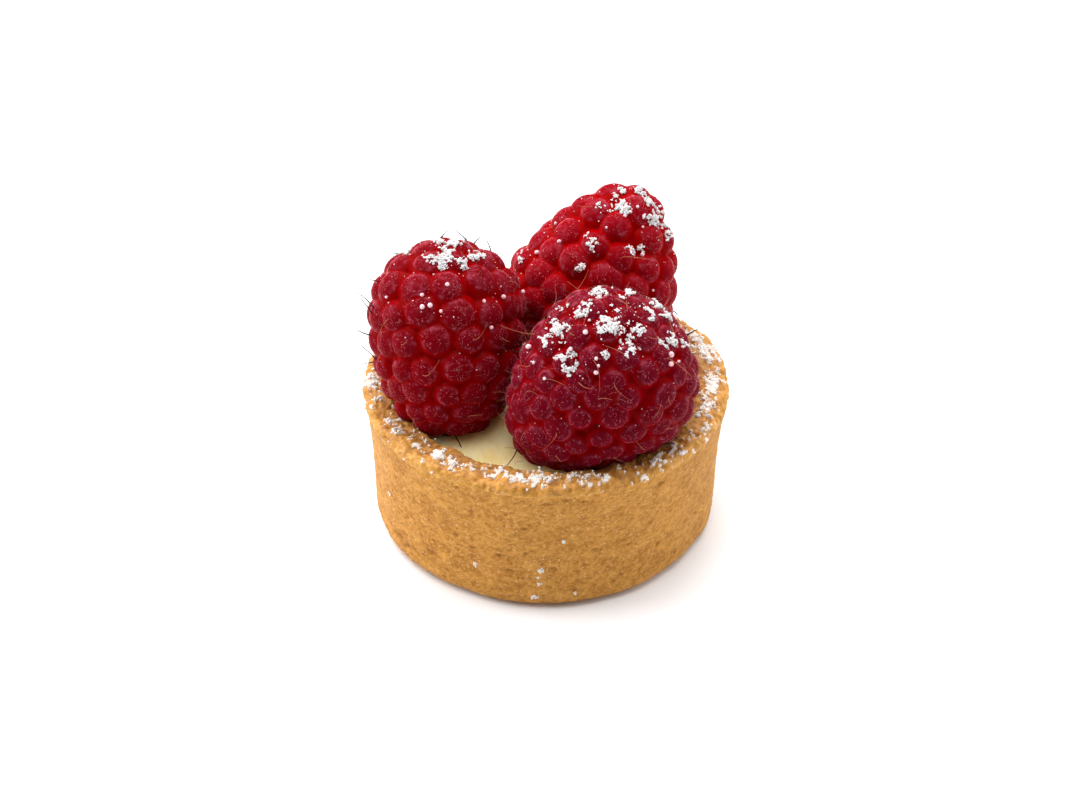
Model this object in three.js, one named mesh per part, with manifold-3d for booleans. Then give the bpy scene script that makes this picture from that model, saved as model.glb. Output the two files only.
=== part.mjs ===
// Berry tart: a straight-sided shortcrust shell filled with pastry cream, under three whole raspberries.
// Millimetres, +Z up. The origin is the centre of the shell's flat underside.
import * as THREE from "three";
import { ConvexHull } from "three/addons/math/ConvexHull.js";
import { mergeVertices } from "three/addons/utils/BufferGeometryUtils.js";
import Module from "manifold-3d";

// ---------------------------------------------------------------- driving dimensions

// The air gap between pieces that touch in the real tart.
const CLEARANCE = 0.3;

const SHELL = {
  height: 19.4,
  waistRadius: 22.25, // the outer radius from the foot up to the waist
  waistLevel: 0.4, // where the rim begins to flare, as a share of the height
  rimFlare: 0.8, // how far the rim stands out past the waist
  footFillet: 1.8,
  rimOuterRound: 0.9,
  rimInnerRound: 0.9,
  mouthRadius: 19.25, // the inner radius just below the rim
  floorRadius: 18.5, // the inner radius at the floor
  floorThickness: 3.0,
  floorFillet: 1.5,
};

// The crumbly pastry's unevenness: waves round the shell, as [waves in a turn, amplitude, phase].
const WALL_WAVES = [[2, 0.1, 0.6], [5, 0.07, 2.1], [9, 0.05, 4.4], [17, 0.03, 1.3]];
const RIM_WAVES = [[3, 0.09, 1.1], [7, 0.08, 0.2], [13, 0.07, 3.6], [19, 0.07, 5.2], [29, 0.06, 2.7]];
const MOUTH_WAVES = [
  [1, 0.4, 5.32],
  [2, 0.35, 2.62],
  [3, 0.25, 0.26],
  [4, 0.08, 0.4],
  [9, 0.07, 1.9],
  [16, 0.08, 0.9],
  [23, 0.07, 4.1],
];
const UNEVEN_FROM_LEVEL = 0.72; // the share of the height where the rim's waves begin

const CREAM = {
  edgeLevel: 17.8, // height where the cream meets the shell
  crownLevel: 18.5, // height at the middle
};

// Each raspberry is two half superellipsoids that meet at its widest section, covered with drupelets.
// place: the centre of the widest section. lean: how far the axis leans along X and Y for each unit up.
// spin: how far the width is turned about the axis, in radians. oval: depth over width.
// radius, tip and base: the outer radius, and the reach to the tip and to the hidden end.
// taper and baseTaper: the halves' exponents, near 1 for a cone and above 2 for a blunt dome.
// pitch: the distance between drupelets. twist: where the first row begins, in radians.
const BERRIES = {
  berry_left: {
    place: [-12.25, -1.6, 30.6],
    lean: [-0.05, 0.565],
    spin: -1.12,
    radius: 9.7,
    tip: 8.5,
    base: 16.6,
    taper: 1.82,
    baseTaper: 2.35,
    oval: 1.01,
    pitch: 3.6,
    twist: 0.2,
    seed: 11,
  },
  berry_front: {
    place: [8.53, -10.48, 27.92],
    lean: [1.19, 0.49],
    spin: 0.25,
    radius: 11.55,
    tip: 9.05,
    base: 15.55,
    taper: 1.87,
    baseTaper: 1.83,
    oval: 0.8,
    pitch: 3.6,
    twist: 1.4,
    seed: 23,
  },
  berry_back: {
    place: [5.5, 9.0, 25.15],
    lean: [0.435, 0.265],
    spin: -0.08,
    radius: 11.6,
    tip: 16.25,
    base: 9.2,
    taper: 1.22,
    baseTaper: 2.35,
    oval: 0.89,
    pitch: 4.1,
    twist: 2.3,
    seed: 37,
  },
};

// Drupelets are balls sunk in a core that lies this far inside the berry's outer surface.
const DRUPELET = {
  proud: 1.0,
  pitchVary: 0.1, // how much the rows' own pitches differ from the berry's
  radiusShare: 0.64, // ball radius as a share of the row's pitch
  rowShare: 0.87, // distance to the next row as a share of the pitch
  angleJitter: 0.16, // share of the step round a row
  rowJitter: 0.12, // share of the pitch
  sizeJitter: 0.13,
  creaseFloor: -0.25, // the lowest that a crease goes, measured from the core
  domeRing: 0.6, // where a dome's ring of vertices lies, from its middle to its crease
};

const BALD_DEPTH = 1.2; // drupelets seated deeper than this under the cream's edge are left out

// How finely the surfaces are divided.
const SHELL_SEGMENTS = 72;
const SHELL_WALL_STEPS = 5;
const CORNER_STEPS = 3;
const CREAM_SEGMENTS = 48;
const CREAM_RINGS = [0.85, 0.65, 0.4, 0.2]; // shares of the cream's radius
const SOCKET_SEGMENTS = 28;
const SOCKET_STEPS = 10;
const PROFILE_SAMPLES = 400;
const PROJECTION = { shortest: 0.5, longest: 2, halvings: 40 }; // the search for a core's surface

// ---------------------------------------------------------------- finishes

const finish = (color, roughness) =>
  new THREE.MeshStandardMaterial({ color, roughness, metalness: 0 });

const FINISHES = {
  crust: () => finish(0xc98d4b, 0.85),
  cream: () => finish(0xf3e3b0, 0.45),
  berry: () => finish(0x8e1222, 0.42),
};

// ---------------------------------------------------------------- helpers

const wasm = await Module();
wasm.setup();

// The sum of waves round the tart at an angle.
function waveSum(waves, angle) {
  return waves.reduce(
    (sum, [turns, amplitude, phase]) => sum + amplitude * Math.sin(turns * angle + phase),
    0,
  );
}

// A seeded stream of numbers from 0 up to 1, by Park and Miller's rule.
function seededRandom(seed) {
  const multiplier = 48271;
  const modulus = 2147483647;
  let state = seed;
  return () => {
    state = (state * multiplier) % modulus;
    return state / modulus;
  };
}

// A body of revolution about +Z from a profile of Vector2(radius, height).
function revolve(profile, segments) {
  return new THREE.LatheGeometry(profile, segments).rotateX(Math.PI / 2);
}

// Points of a rounded corner of a profile, from one angle to another about its centre.
function corner(centreRadius, centreHeight, round, from, to) {
  return Array.from({ length: CORNER_STEPS + 1 }, (_, i) => {
    const angle = THREE.MathUtils.lerp(from, to, i / CORNER_STEPS);
    const turned = new THREE.Vector2(round * Math.cos(angle), round * Math.sin(angle));
    return turned.add(new THREE.Vector2(centreRadius, centreHeight));
  });
}

// Moves every vertex of a revolved body: move(radius, height, angle) gives its new radius and height.
function reshape(geometry, move) {
  const place = geometry.getAttribute("position");
  for (let i = 0; i < place.count; i += 1) {
    const radius = Math.hypot(place.getX(i), place.getY(i));
    const angle = Math.atan2(place.getY(i), place.getX(i));
    const [newRadius, newHeight] = move(radius, place.getZ(i), angle);
    place.setXYZ(i, newRadius * Math.cos(angle), newRadius * Math.sin(angle), newHeight);
  }
  return geometry;
}

// A closed geometry as a solid that can be cut.
function solidFrom(geometry) {
  const bare = geometry.index ? geometry.toNonIndexed() : geometry.clone();
  const position = bare.getAttribute("position");
  const merged = mergeVertices(new THREE.BufferGeometry().setAttribute("position", position));
  const vertProperties = merged.getAttribute("position").array;
  return new wasm.Manifold(new wasm.Mesh({ numProp: 3, vertProperties, triVerts: merged.index.array }));
}

// A cut solid back as a geometry.
function geometryFrom(solid) {
  const mesh = solid.getMesh();
  return new THREE.BufferGeometry()
    .setAttribute("position", new THREE.BufferAttribute(mesh.vertProperties, mesh.numProp))
    .setIndex(new THREE.BufferAttribute(mesh.triVerts, 1));
}

// ---------------------------------------------------------------- shell

// The outer radius at a height: straight up to the waist, then wider by a square law towards the rim.
function shellOuterRadius(height) {
  const level = height / SHELL.height;
  const up = Math.max(0, (level - SHELL.waistLevel) / (1 - SHELL.waistLevel));
  return SHELL.waistRadius + SHELL.rimFlare * up * up;
}

// The inner radius at a height, drafted from the floor up to the mouth.
function shellInnerRadius(height) {
  const level = (height - SHELL.floorThickness) / (SHELL.height - SHELL.floorThickness);
  return THREE.MathUtils.lerp(SHELL.floorRadius, SHELL.mouthRadius, level);
}

// Waves round the top of the shell, which fade out down the wall: they lift the rim or shift the mouth.
function topWaves(waves, height, angle) {
  return THREE.MathUtils.smoothstep(height / SHELL.height, UNEVEN_FROM_LEVEL, 1) * waveSum(waves, angle);
}

function buildShell() {
  const { height, footFillet, rimOuterRound, rimInnerRound, floorThickness, floorFillet } = SHELL;
  const quarter = Math.PI / 2;
  const foot = shellOuterRadius(0) - footFillet;
  const rimOuter = shellOuterRadius(height) - rimOuterRound;
  const rimInner = shellInnerRadius(height) + rimInnerRound;
  const wallFrom = footFillet;
  const wallTo = height - rimOuterRound;
  const profile = [new THREE.Vector2(0, 0), new THREE.Vector2(foot / 2, 0)];
  profile.push(...corner(foot, footFillet, footFillet, -quarter, 0));
  for (let i = 1; i < SHELL_WALL_STEPS; i += 1) {
    const level = THREE.MathUtils.lerp(wallFrom, wallTo, i / SHELL_WALL_STEPS);
    profile.push(new THREE.Vector2(shellOuterRadius(level), level));
  }
  profile.push(...corner(rimOuter, wallTo, rimOuterRound, 0, quarter));
  profile.push(...corner(rimInner, height - rimInnerRound, rimInnerRound, quarter, 2 * quarter));
  const floorCorner = floorThickness + floorFillet;
  profile.push(new THREE.Vector2(shellInnerRadius(floorCorner), floorCorner));
  profile.push(new THREE.Vector2(SHELL.floorRadius - floorFillet, floorThickness));
  profile.push(new THREE.Vector2(0, floorThickness));

  const middleOfWall = (shellInnerRadius(height) + shellOuterRadius(height)) / 2;
  return reshape(revolve(profile, SHELL_SEGMENTS), (radius, level, angle) => {
    const outside = radius > middleOfWall || level < floorThickness / 2;
    const shift = outside ? waveSum(WALL_WAVES, angle) : topWaves(MOUTH_WAVES, level, angle);
    const share = radius / middleOfWall;
    return [radius + shift * Math.min(1, share), level + topWaves(RIM_WAVES, level, angle)];
  });
}

// The rim and the inner wall grown by the clearance: what the raspberries stay out of.
function buildRimReserve() {
  const round = SHELL.rimInnerRound + CLEARANCE;
  const centre = SHELL.mouthRadius + SHELL.rimInnerRound;
  const outside = shellOuterRadius(SHELL.height) + CLEARANCE;
  const below = SHELL.height / 2;
  const profile = [
    new THREE.Vector2(shellInnerRadius(below) - CLEARANCE, below),
    new THREE.Vector2(outside, below),
    new THREE.Vector2(outside, SHELL.height + CLEARANCE),
    ...corner(centre, SHELL.height - SHELL.rimInnerRound, round, Math.PI / 2, Math.PI),
  ];
  profile.push(profile[0].clone());
  return reshape(revolve(profile, SHELL_SEGMENTS), (radius, level, angle) => [
    radius + (radius < outside ? topWaves(MOUTH_WAVES, level, angle) : 0),
    level + topWaves(RIM_WAVES, level, angle),
  ]);
}

// ---------------------------------------------------------------- cream

// The height of the cream's top: a low crown that flattens towards the shell.
function creamLevel(radius) {
  const share = Math.min(1, radius / SHELL.mouthRadius);
  return THREE.MathUtils.lerp(CREAM.crownLevel, CREAM.edgeLevel, share * share);
}

function buildCream() {
  const floor = SHELL.floorThickness + CLEARANCE;
  const cornerHeight = floor + SHELL.floorFillet;
  const mouth = shellInnerRadius(CREAM.edgeLevel) - CLEARANCE;
  const profile = [
    new THREE.Vector2(0, floor),
    new THREE.Vector2(SHELL.floorRadius - SHELL.floorFillet - CLEARANCE, floor),
    new THREE.Vector2(shellInnerRadius(cornerHeight) - CLEARANCE, cornerHeight),
    new THREE.Vector2(mouth, CREAM.edgeLevel),
  ];
  for (const share of CREAM_RINGS) {
    profile.push(new THREE.Vector2(mouth * share, creamLevel(mouth * share)));
  }
  profile.push(new THREE.Vector2(0, CREAM.crownLevel));
  const body = reshape(revolve(profile, CREAM_SEGMENTS), (radius, level, angle) => [
    radius + topWaves(MOUTH_WAVES, level, angle) * (radius / mouth),
    level,
  ]);
  const filling = Object.values(BERRIES).reduce(
    (rest, berry) => rest.subtract(solidFrom(buildSocket(berry))),
    solidFrom(body),
  );
  return geometryFrom(filling);
}

// ---------------------------------------------------------------- raspberries

// The placement of a berry in the tart: its width, its depth and its axis, and its middle.
function berryPlacement(berry) {
  const axis = new THREE.Vector3(berry.lean[0], berry.lean[1], 1).normalize();
  const width = new THREE.Vector3(0, 1, 0).cross(axis).normalize().applyAxisAngle(axis, berry.spin);
  const depth = axis.clone().cross(width);
  return new THREE.Matrix4().makeBasis(width, depth, axis).setPosition(...berry.place);
}

// The profile at an angle from -90 degrees at the hidden end to +90 at the tip, as Vector2(radius, height).
function berryProfile(berry, inset, angle) {
  const tipHalf = angle > 0;
  const reach = (tipHalf ? berry.tip : berry.base) - inset;
  const taper = tipHalf ? berry.taper : berry.baseTaper;
  const height = Math.sign(angle) * reach * Math.abs(Math.sin(angle)) ** (2 / taper);
  return new THREE.Vector2((berry.radius - inset) * Math.cos(angle), height);
}

// The smooth hollow that a berry presses in the cream, in the tart's frame.
function buildSocket(berry) {
  const profile = Array.from({ length: SOCKET_STEPS + 1 }, (_, i) =>
    berryProfile(berry, -CLEARANCE, Math.PI * (i / SOCKET_STEPS - 0.5)),
  );
  profile[0].x = 0;
  profile[SOCKET_STEPS].x = 0;
  return revolve(profile, SOCKET_SEGMENTS)
    .scale(1, berry.oval, 1)
    .applyMatrix4(berryPlacement(berry));
}

// The core inside the drupelets: the surface where the square of the share of the radius, plus the share of
// the reach raised to the taper, is 1.
class BerryCore {
  constructor(berry) {
    this.radius = berry.radius - DRUPELET.proud;
    this.tip = berry.tip - DRUPELET.proud;
    this.base = berry.base - DRUPELET.proud;
    this.taper = berry.taper;
    this.baseTaper = berry.baseTaper;
    this.oval = berry.oval;
  }

  // The value of the surface's equation: 1 on it, less inside.
  level(point) {
    const across = (point.x ** 2 + (point.y / this.oval) ** 2) / this.radius ** 2;
    return across + this.along(point.z).share;
  }

  // The axial term of the surface's equation, and its slope.
  along(height) {
    const reach = height > 0 ? this.tip : this.base;
    const taper = height > 0 ? this.taper : this.baseTaper;
    const share = (Math.abs(height) / reach) ** taper;
    const slope = height === 0 ? 0 : (taper * share) / height;
    return { share, slope };
  }

  // The point moved straight out from the core's middle until it lies on the surface, by bisection.
  project(point) {
    let low = PROJECTION.shortest;
    let high = PROJECTION.longest;
    for (let i = 0; i < PROJECTION.halvings; i += 1) {
      const middle = (low + high) / 2;
      if (this.level(point.clone().multiplyScalar(middle)) < 1) low = middle;
      else high = middle;
    }
    return point.clone().multiplyScalar(high);
  }

  normal(point) {
    const across = 2 / this.radius ** 2;
    const normal = new THREE.Vector3(point.x, point.y / this.oval ** 2, 0).multiplyScalar(across);
    normal.z = this.along(point.z).slope;
    return normal.normalize();
  }
}

// Samples of the core's profile with the distance walked from the tip.
function walkProfile(berry) {
  const samples = [];
  let walked = 0;
  for (let i = 0; i <= PROFILE_SAMPLES; i += 1) {
    const angle = Math.PI * (0.5 - i / PROFILE_SAMPLES);
    const place = berryProfile(berry, DRUPELET.proud, angle);
    if (i > 0) walked += place.distanceTo(samples[i - 1].place);
    samples.push({ angle, place, walked });
  }
  return samples;
}

// Middles and sizes of the drupelets, in rows down from the tip, each row staggered against the last.
function placeDrupelets(berry, core) {
  const samples = walkProfile(berry);
  const random = seededRandom(berry.seed);
  const vary = (share) => share * (2 * random() - 1);
  const end = samples[PROFILE_SAMPLES].walked;
  const placement = berryPlacement(berry);
  const drupelets = [];
  let turn = berry.twist;
  let walked = 0;
  while (walked < end) {
    const pitch = berry.pitch * (1 + vary(DRUPELET.pitchVary));
    const rowRadius = samples.find((sample) => sample.walked >= walked).place.x;
    const count = Math.max(1, Math.round((2 * Math.PI * rowRadius) / pitch));
    const step = (2 * Math.PI) / count;
    turn += step / 2;
    for (let i = 0; i < count; i += 1) {
      const angle = turn + step * (i + vary(DRUPELET.angleJitter));
      const aim = walked + (walked > 0 ? pitch * vary(DRUPELET.rowJitter) : 0);
      const size = pitch * (1 + vary(DRUPELET.sizeJitter));
      const { x: radius, y: height } = samples.find((sample) => sample.walked >= Math.min(aim, end)).place;
      const seat = core.project(
        new THREE.Vector3(radius * Math.cos(angle), berry.oval * radius * Math.sin(angle), height),
      );
      if (seat.clone().applyMatrix4(placement).z < CREAM.edgeLevel - BALD_DEPTH) continue;
      const ball = DRUPELET.radiusShare * size;
      const middle = seat.clone().addScaledVector(core.normal(seat), DRUPELET.proud - ball);
      drupelets.push({ seat, middle, ball });
    }
    walked += pitch * DRUPELET.rowShare;
  }
  return drupelets;
}

// The point on the drupelets straight out from a seat on the core: the furthest ball that the normal meets.
function riseToDrupelets(core, drupelets, seat) {
  const normal = core.normal(seat);
  let rise = DRUPELET.creaseFloor;
  for (const { middle, ball } of drupelets) {
    const offset = seat.clone().sub(middle);
    const along = offset.dot(normal);
    const reach = along * along - offset.lengthSq() + ball * ball;
    if (reach > 0) rise = Math.max(rise, Math.sqrt(reach) - along);
  }
  return seat.clone().addScaledVector(normal, rise);
}

// The hull of the drupelets' seats joins each one to its neighbours. Along each edge one side of a dome is
// built: a piece of the dome's top, and a strip from there down to the crease with the neighbour.
function buildDrupelets(berry) {
  const core = new BerryCore(berry);
  const drupelets = placeDrupelets(berry, core);
  const hiddenEnd = new THREE.Vector3(0, 0, -core.base);
  const hull = new ConvexHull().setFromPoints([...drupelets.map((drupelet) => drupelet.seat), hiddenEnd]);
  const edgesOf = (face) => [face.edge, face.edge.next, face.edge.prev];
  const middleOf = (points) => {
    const sum = points.reduce((total, point) => total.add(point), new THREE.Vector3());
    return core.project(sum.divideScalar(points.length));
  };
  const creaseOf = (face) => middleOf(edgesOf(face).map((edge) => edge.head().point));
  const creases = new Map(hull.faces.map((face) => [face, creaseOf(face)]));

  const positions = [];
  for (const face of hull.faces) {
    for (const edge of edgesOf(face)) {
      const seat = edge.tail().point;
      const left = creases.get(face);
      const right = creases.get(edge.twin.face);
      const domeLeft = core.project(seat.clone().lerp(left, DRUPELET.domeRing));
      const domeRight = core.project(seat.clone().lerp(right, DRUPELET.domeRing));
      const saddle = middleOf([seat, edge.head().point]);
      const raised = [seat, domeLeft, domeRight, saddle, left, right].map((point) =>
        riseToDrupelets(core, drupelets, point),
      );
      const [top, leftRim, rightRim, low, leftLow, rightLow] = raised;
      positions.push(top, rightRim, leftRim);
      positions.push(rightRim, low, leftRim);
      positions.push(rightRim, rightLow, low);
      positions.push(low, leftLow, leftRim);
    }
  }
  return new THREE.BufferGeometry().setFromPoints(positions);
}

// A raspberry in its own frame, flattened where it presses against the shell's rim.
function buildBerry(berry) {
  const reserve = buildRimReserve().applyMatrix4(berryPlacement(berry).invert());
  return geometryFrom(solidFrom(buildDrupelets(berry)).subtract(solidFrom(reserve)));
}

// ---------------------------------------------------------------- the tart

function namedMesh(name, geometry, material) {
  const mesh = new THREE.Mesh(geometry, material);
  mesh.name = name;
  return mesh;
}

const tart = new THREE.Group();
tart.add(namedMesh("crust", buildShell(), FINISHES.crust()));
tart.add(namedMesh("cream", buildCream(), FINISHES.cream()));
for (const [name, berry] of Object.entries(BERRIES)) {
  const mesh = namedMesh(name, buildBerry(berry), FINISHES.berry());
  mesh.applyMatrix4(berryPlacement(berry));
  tart.add(mesh);
}

export default tart;
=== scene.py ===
"""Dresses the berry tart: a baked shortcrust shell, pastry cream, raspberries with their styles, and sugar.

Every shape is worked out in millimetres, in the frame's own axes, and becomes metres when its mesh is made.
"""

import logging
import math
from dataclasses import dataclass, field
from enum import Enum
from functools import cache, cached_property
from itertools import product
from typing import Union

import bpy
import numpy as np
from mathutils import Matrix, Vector


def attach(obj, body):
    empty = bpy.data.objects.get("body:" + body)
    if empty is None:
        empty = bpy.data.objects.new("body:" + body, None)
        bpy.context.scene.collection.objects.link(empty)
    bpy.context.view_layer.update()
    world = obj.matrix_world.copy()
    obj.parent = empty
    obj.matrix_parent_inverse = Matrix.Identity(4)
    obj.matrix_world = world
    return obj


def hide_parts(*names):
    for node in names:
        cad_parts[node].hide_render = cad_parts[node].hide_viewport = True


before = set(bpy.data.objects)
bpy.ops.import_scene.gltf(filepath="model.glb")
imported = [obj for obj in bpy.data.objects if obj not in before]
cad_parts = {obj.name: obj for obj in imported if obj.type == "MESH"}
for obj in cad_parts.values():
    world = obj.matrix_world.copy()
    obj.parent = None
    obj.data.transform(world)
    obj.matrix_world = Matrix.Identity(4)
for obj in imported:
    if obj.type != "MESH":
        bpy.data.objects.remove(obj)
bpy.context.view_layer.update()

LOG = logging.getLogger("berry_tart")
MM = 0.001
Array = np.ndarray


# ---- numbers and noise

WORD = 0xFFFFFFFF
AXIS_PRIMES = np.array([374761393, 668265263, 1440662683])
MIXING_PRIME = 1274126177
OCTAVE_WIDTH = 0.5
OCTAVE_STRENGTH = 0.55
STREAM_FACTOR = 48271
STREAM_LIMIT = 2147483647


def smoothstep(low: float, high: float, value: Array) -> Array:
    """Blends from 0 at low to 1 at high with flat ends.

    Args:
        low: where the blend starts.
        high: where it ends; below low it runs the other way.
        value: the values to blend.

    Returns:
        The blend, 3s^2 - 2s^3 of the share s of the way.
    """
    share = np.clip((value - low) / (high - low), 0.0, 1.0)
    return share * share * (3.0 - 2.0 * share)


def lattice(cells: Array, seed: int) -> Array:
    """Gives each whole-number cell a fixed value from 0 to 1, by mixing the bits of its coordinates.

    Args:
        cells: whole-number coordinates, with a last axis of 3.
        seed: picks the pattern.

    Returns:
        One value for each cell.
    """
    mixed = ((cells * AXIS_PRIMES).sum(axis=-1) + seed * MIXING_PRIME) & WORD
    mixed = ((mixed ^ (mixed >> 13)) * MIXING_PRIME) & WORD
    return (mixed ^ (mixed >> 16)) / WORD


def value_noise(points: Array, cell: float, seed: int) -> Array:
    """Smooth noise from -1 to 1: the eight lattice corners round each point, blended by smoothstep.

    Args:
        points: places in millimetres, with a last axis of 3.
        cell: the lattice's spacing in millimetres.
        seed: picks the pattern.

    Returns:
        One value for each point.
    """
    scaled = points / cell
    low = np.floor(scaled).astype(np.int64)
    part = scaled - low
    part = part * part * (3.0 - 2.0 * part)
    total = np.zeros(points.shape[:-1])
    for corner in product((0, 1), repeat=3):
        weight = np.where(np.array(corner) == 1, part, 1.0 - part).prod(axis=-1)
        total += weight * lattice(low + np.array(corner), seed)
    return 2.0 * total - 1.0


def fractal_noise(points: Array, cell: float, octaves: int, seed: int) -> Array:
    """Noise summed over octaves, each narrower and weaker than the last, scaled back to -1 to 1.

    Args:
        points: places in millimetres, with a last axis of 3.
        cell: the widest octave's spacing in millimetres.
        octaves: how many are summed.
        seed: picks the pattern.

    Returns:
        One value for each point.
    """
    total = np.zeros(points.shape[:-1])
    strengths = OCTAVE_STRENGTH ** np.arange(octaves)
    for octave, strength in enumerate(strengths):
        total += strength * value_noise(points, cell * OCTAVE_WIDTH**octave, seed + octave)
    return total / strengths.sum()


@dataclass(frozen=True)
class Noise:
    """One kind of unevenness: its width in millimetres, its octaves and seed, and how far it rises."""

    cell: float
    octaves: int
    seed: int
    height: float = 1.0

    def at(self, points: Array) -> Array:
        """The unevenness at points in millimetres, from -1 to 1."""
        return fractal_noise(points, self.cell, self.octaves, self.seed)

    def raised(self, points: Array) -> Array:
        """The unevenness at points in millimetres, from -height to height."""
        return self.height * self.at(points)


def towards(bearing: Array, climb: Array) -> Array:
    """Points unit vectors.

    Args:
        bearing: degrees anticlockwise from +X.
        climb: degrees above the level.

    Returns:
        One vector for each pair.
    """
    round_by = np.radians(bearing)
    up = np.radians(climb)
    return np.stack([np.cos(up) * np.cos(round_by), np.cos(up) * np.sin(round_by), np.sin(up)], axis=-1)


def seeded_stream(seed: int, count: int) -> Array:
    """Draws the first numbers of Park and Miller's stream: each state is the last times a factor, wrapped.

    Args:
        seed: the state to start from.
        count: how many to draw.

    Returns:
        The numbers, each from 0 up to 1.
    """
    values = np.empty(count)
    state = seed
    for i in range(count):
        state = (state * STREAM_FACTOR) % STREAM_LIMIT
        values[i] = state / STREAM_LIMIT
    return values


# ---- meshes

NO_QUADS = np.empty((0, 4), dtype=int)
NO_TRIANGLES = np.empty((0, 3), dtype=int)


@dataclass
class Surface:
    """A mesh as whole arrays: points in millimetres, four- and three-sided faces, and a value per point."""

    points: Array
    quads: Array
    triangles: Array
    values: dict[str, Array] = field(default_factory=dict)

    def area_vectors(self) -> Array:
        """Sums the normals of the faces round each point.

        Returns:
            A vector for each point, as long as twice the area of those faces.
        """
        total = np.zeros_like(self.points)
        for faces in (self.quads, self.triangles):
            if len(faces) == 0:
                continue
            corners = self.points[faces]
            if faces.shape[1] == 4:
                face = np.cross(corners[:, 2] - corners[:, 0], corners[:, 3] - corners[:, 1])
            else:
                face = np.cross(corners[:, 1] - corners[:, 0], corners[:, 2] - corners[:, 0])
            for side in range(faces.shape[1]):
                np.add.at(total, faces[:, side], face)
        return total

    def normals(self) -> Array:
        """Works out unit normals at the points: the area-weighted mean of the faces round each.

        Returns:
            One normal for each point.
        """
        total = self.area_vectors()
        return total / np.linalg.norm(total, axis=1, keepdims=True).clip(1e-9)

    def to_object(self, name: str, material: bpy.types.Material) -> bpy.types.Object:
        """Makes the mesh object, in metres, smooth-shaded, with each set of values as a point attribute.

        Args:
            name: the piece's name.
            material: its finish.

        Returns:
            The linked object.
        """
        mesh = bpy.data.meshes.new(name)
        mesh.vertices.add(len(self.points))
        mesh.vertices.foreach_set("co", (self.points * MM).astype(np.float32).ravel())
        corners = np.concatenate([self.quads.ravel(), self.triangles.ravel()]).astype(np.int32)
        mesh.loops.add(len(corners))
        mesh.loops.foreach_set("vertex_index", corners)
        quad_starts = 4 * np.arange(len(self.quads))
        triangle_starts = 4 * len(self.quads) + 3 * np.arange(len(self.triangles))
        starts = np.concatenate([quad_starts, triangle_starts]).astype(np.int32)
        mesh.polygons.add(len(starts))
        mesh.polygons.foreach_set("loop_start", starts)
        mesh.polygons.foreach_set("use_smooth", np.ones(len(starts), dtype=bool))
        mesh.update(calc_edges=True)
        for key, value in self.values.items():
            layer = mesh.attributes.new(key, "FLOAT", "POINT")
            layer.data.foreach_set("value", value.astype(np.float32).ravel())
        mesh.materials.append(material)
        piece = bpy.data.objects.new(name, mesh)
        bpy.context.scene.collection.objects.link(piece)
        return piece


def closed_grid(rows: Array, first_pole: Array, last_pole: Array) -> Surface:
    """Closes a grid of rings into one skin: quads between rings and a fan of triangles at each pole.

    Args:
        rows: points of shape (rings, columns, 3), the columns running anticlockwise seen from the last pole.
        first_pole: the point that closes the first ring.
        last_pole: the point that closes the last ring.

    Returns:
        The surface, its points ring by ring and then the two poles.
    """
    rings, columns = rows.shape[:2]
    index = np.arange(rings * columns).reshape(rings, columns)
    along = np.roll(index, -1, axis=1)
    quads = np.stack([index[:-1], along[:-1], along[1:], index[1:]], axis=-1).reshape(-1, 4)
    first = rings * columns
    start = np.stack([np.full(columns, first), along[0], index[0]], axis=-1)
    end = np.stack([np.full(columns, first + 1), index[-1], along[-1]], axis=-1)
    points = np.concatenate([rows.reshape(-1, 3), first_pole[None], last_pole[None]])
    return Surface(points, quads, np.concatenate([start, end]))


GOLDEN = (1.0 + math.sqrt(5.0)) / 2.0
ICO_EDGE = 2.0
LUMP_SHARES = (0.75, 1.25)
ICO_POINTS = np.array(
    [point for s in (-1, 1) for t in (-GOLDEN, GOLDEN) for point in ((s, t, 0), (0, s, t), (t, 0, s))],
    dtype=float,
)


def icosahedron_faces() -> Array:
    """Finds the 20 faces of ICO_POINTS as the triples that lie an edge apart.

    Returns:
        Three indices for each face, wound to face outward.
    """
    gap = np.linalg.norm(ICO_POINTS[:, None] - ICO_POINTS[None], axis=-1)
    near = np.isclose(gap, ICO_EDGE)
    faces = []
    for a, b, c in product(range(len(ICO_POINTS)), repeat=3):
        if a < b and a < c and near[a, b] and near[b, c] and near[c, a]:
            normal = np.cross(ICO_POINTS[b] - ICO_POINTS[a], ICO_POINTS[c] - ICO_POINTS[a])
            if np.dot(normal, ICO_POINTS[a]) > 0:
                faces.append((a, b, c))
    return np.array(faces)


def split_icosahedron() -> tuple[Array, Array]:
    """Makes a unit ball of 80 triangles: each face of the icosahedron split in four and pushed out.

    Returns:
        The ball's points, and three indices for each face.
    """
    ball = ICO_POINTS / np.linalg.norm(ICO_POINTS[0])
    corners = ball[icosahedron_faces()]
    a, b, c = corners[:, 0], corners[:, 1], corners[:, 2]
    ab, bc, ca = (a + b) / 2.0, (b + c) / 2.0, (c + a) / 2.0
    quarters = ((a, ab, ca), (ab, b, bc), (ca, bc, c), (ab, bc, ca))
    pieces = np.concatenate([np.stack(quarter, axis=1) for quarter in quarters]).reshape(-1, 3)
    pushed = np.round(pieces / np.linalg.norm(pieces, axis=1, keepdims=True), 6)
    points, index = np.unique(pushed, axis=0, return_inverse=True)
    return points, index.reshape(-1, 3)


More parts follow.
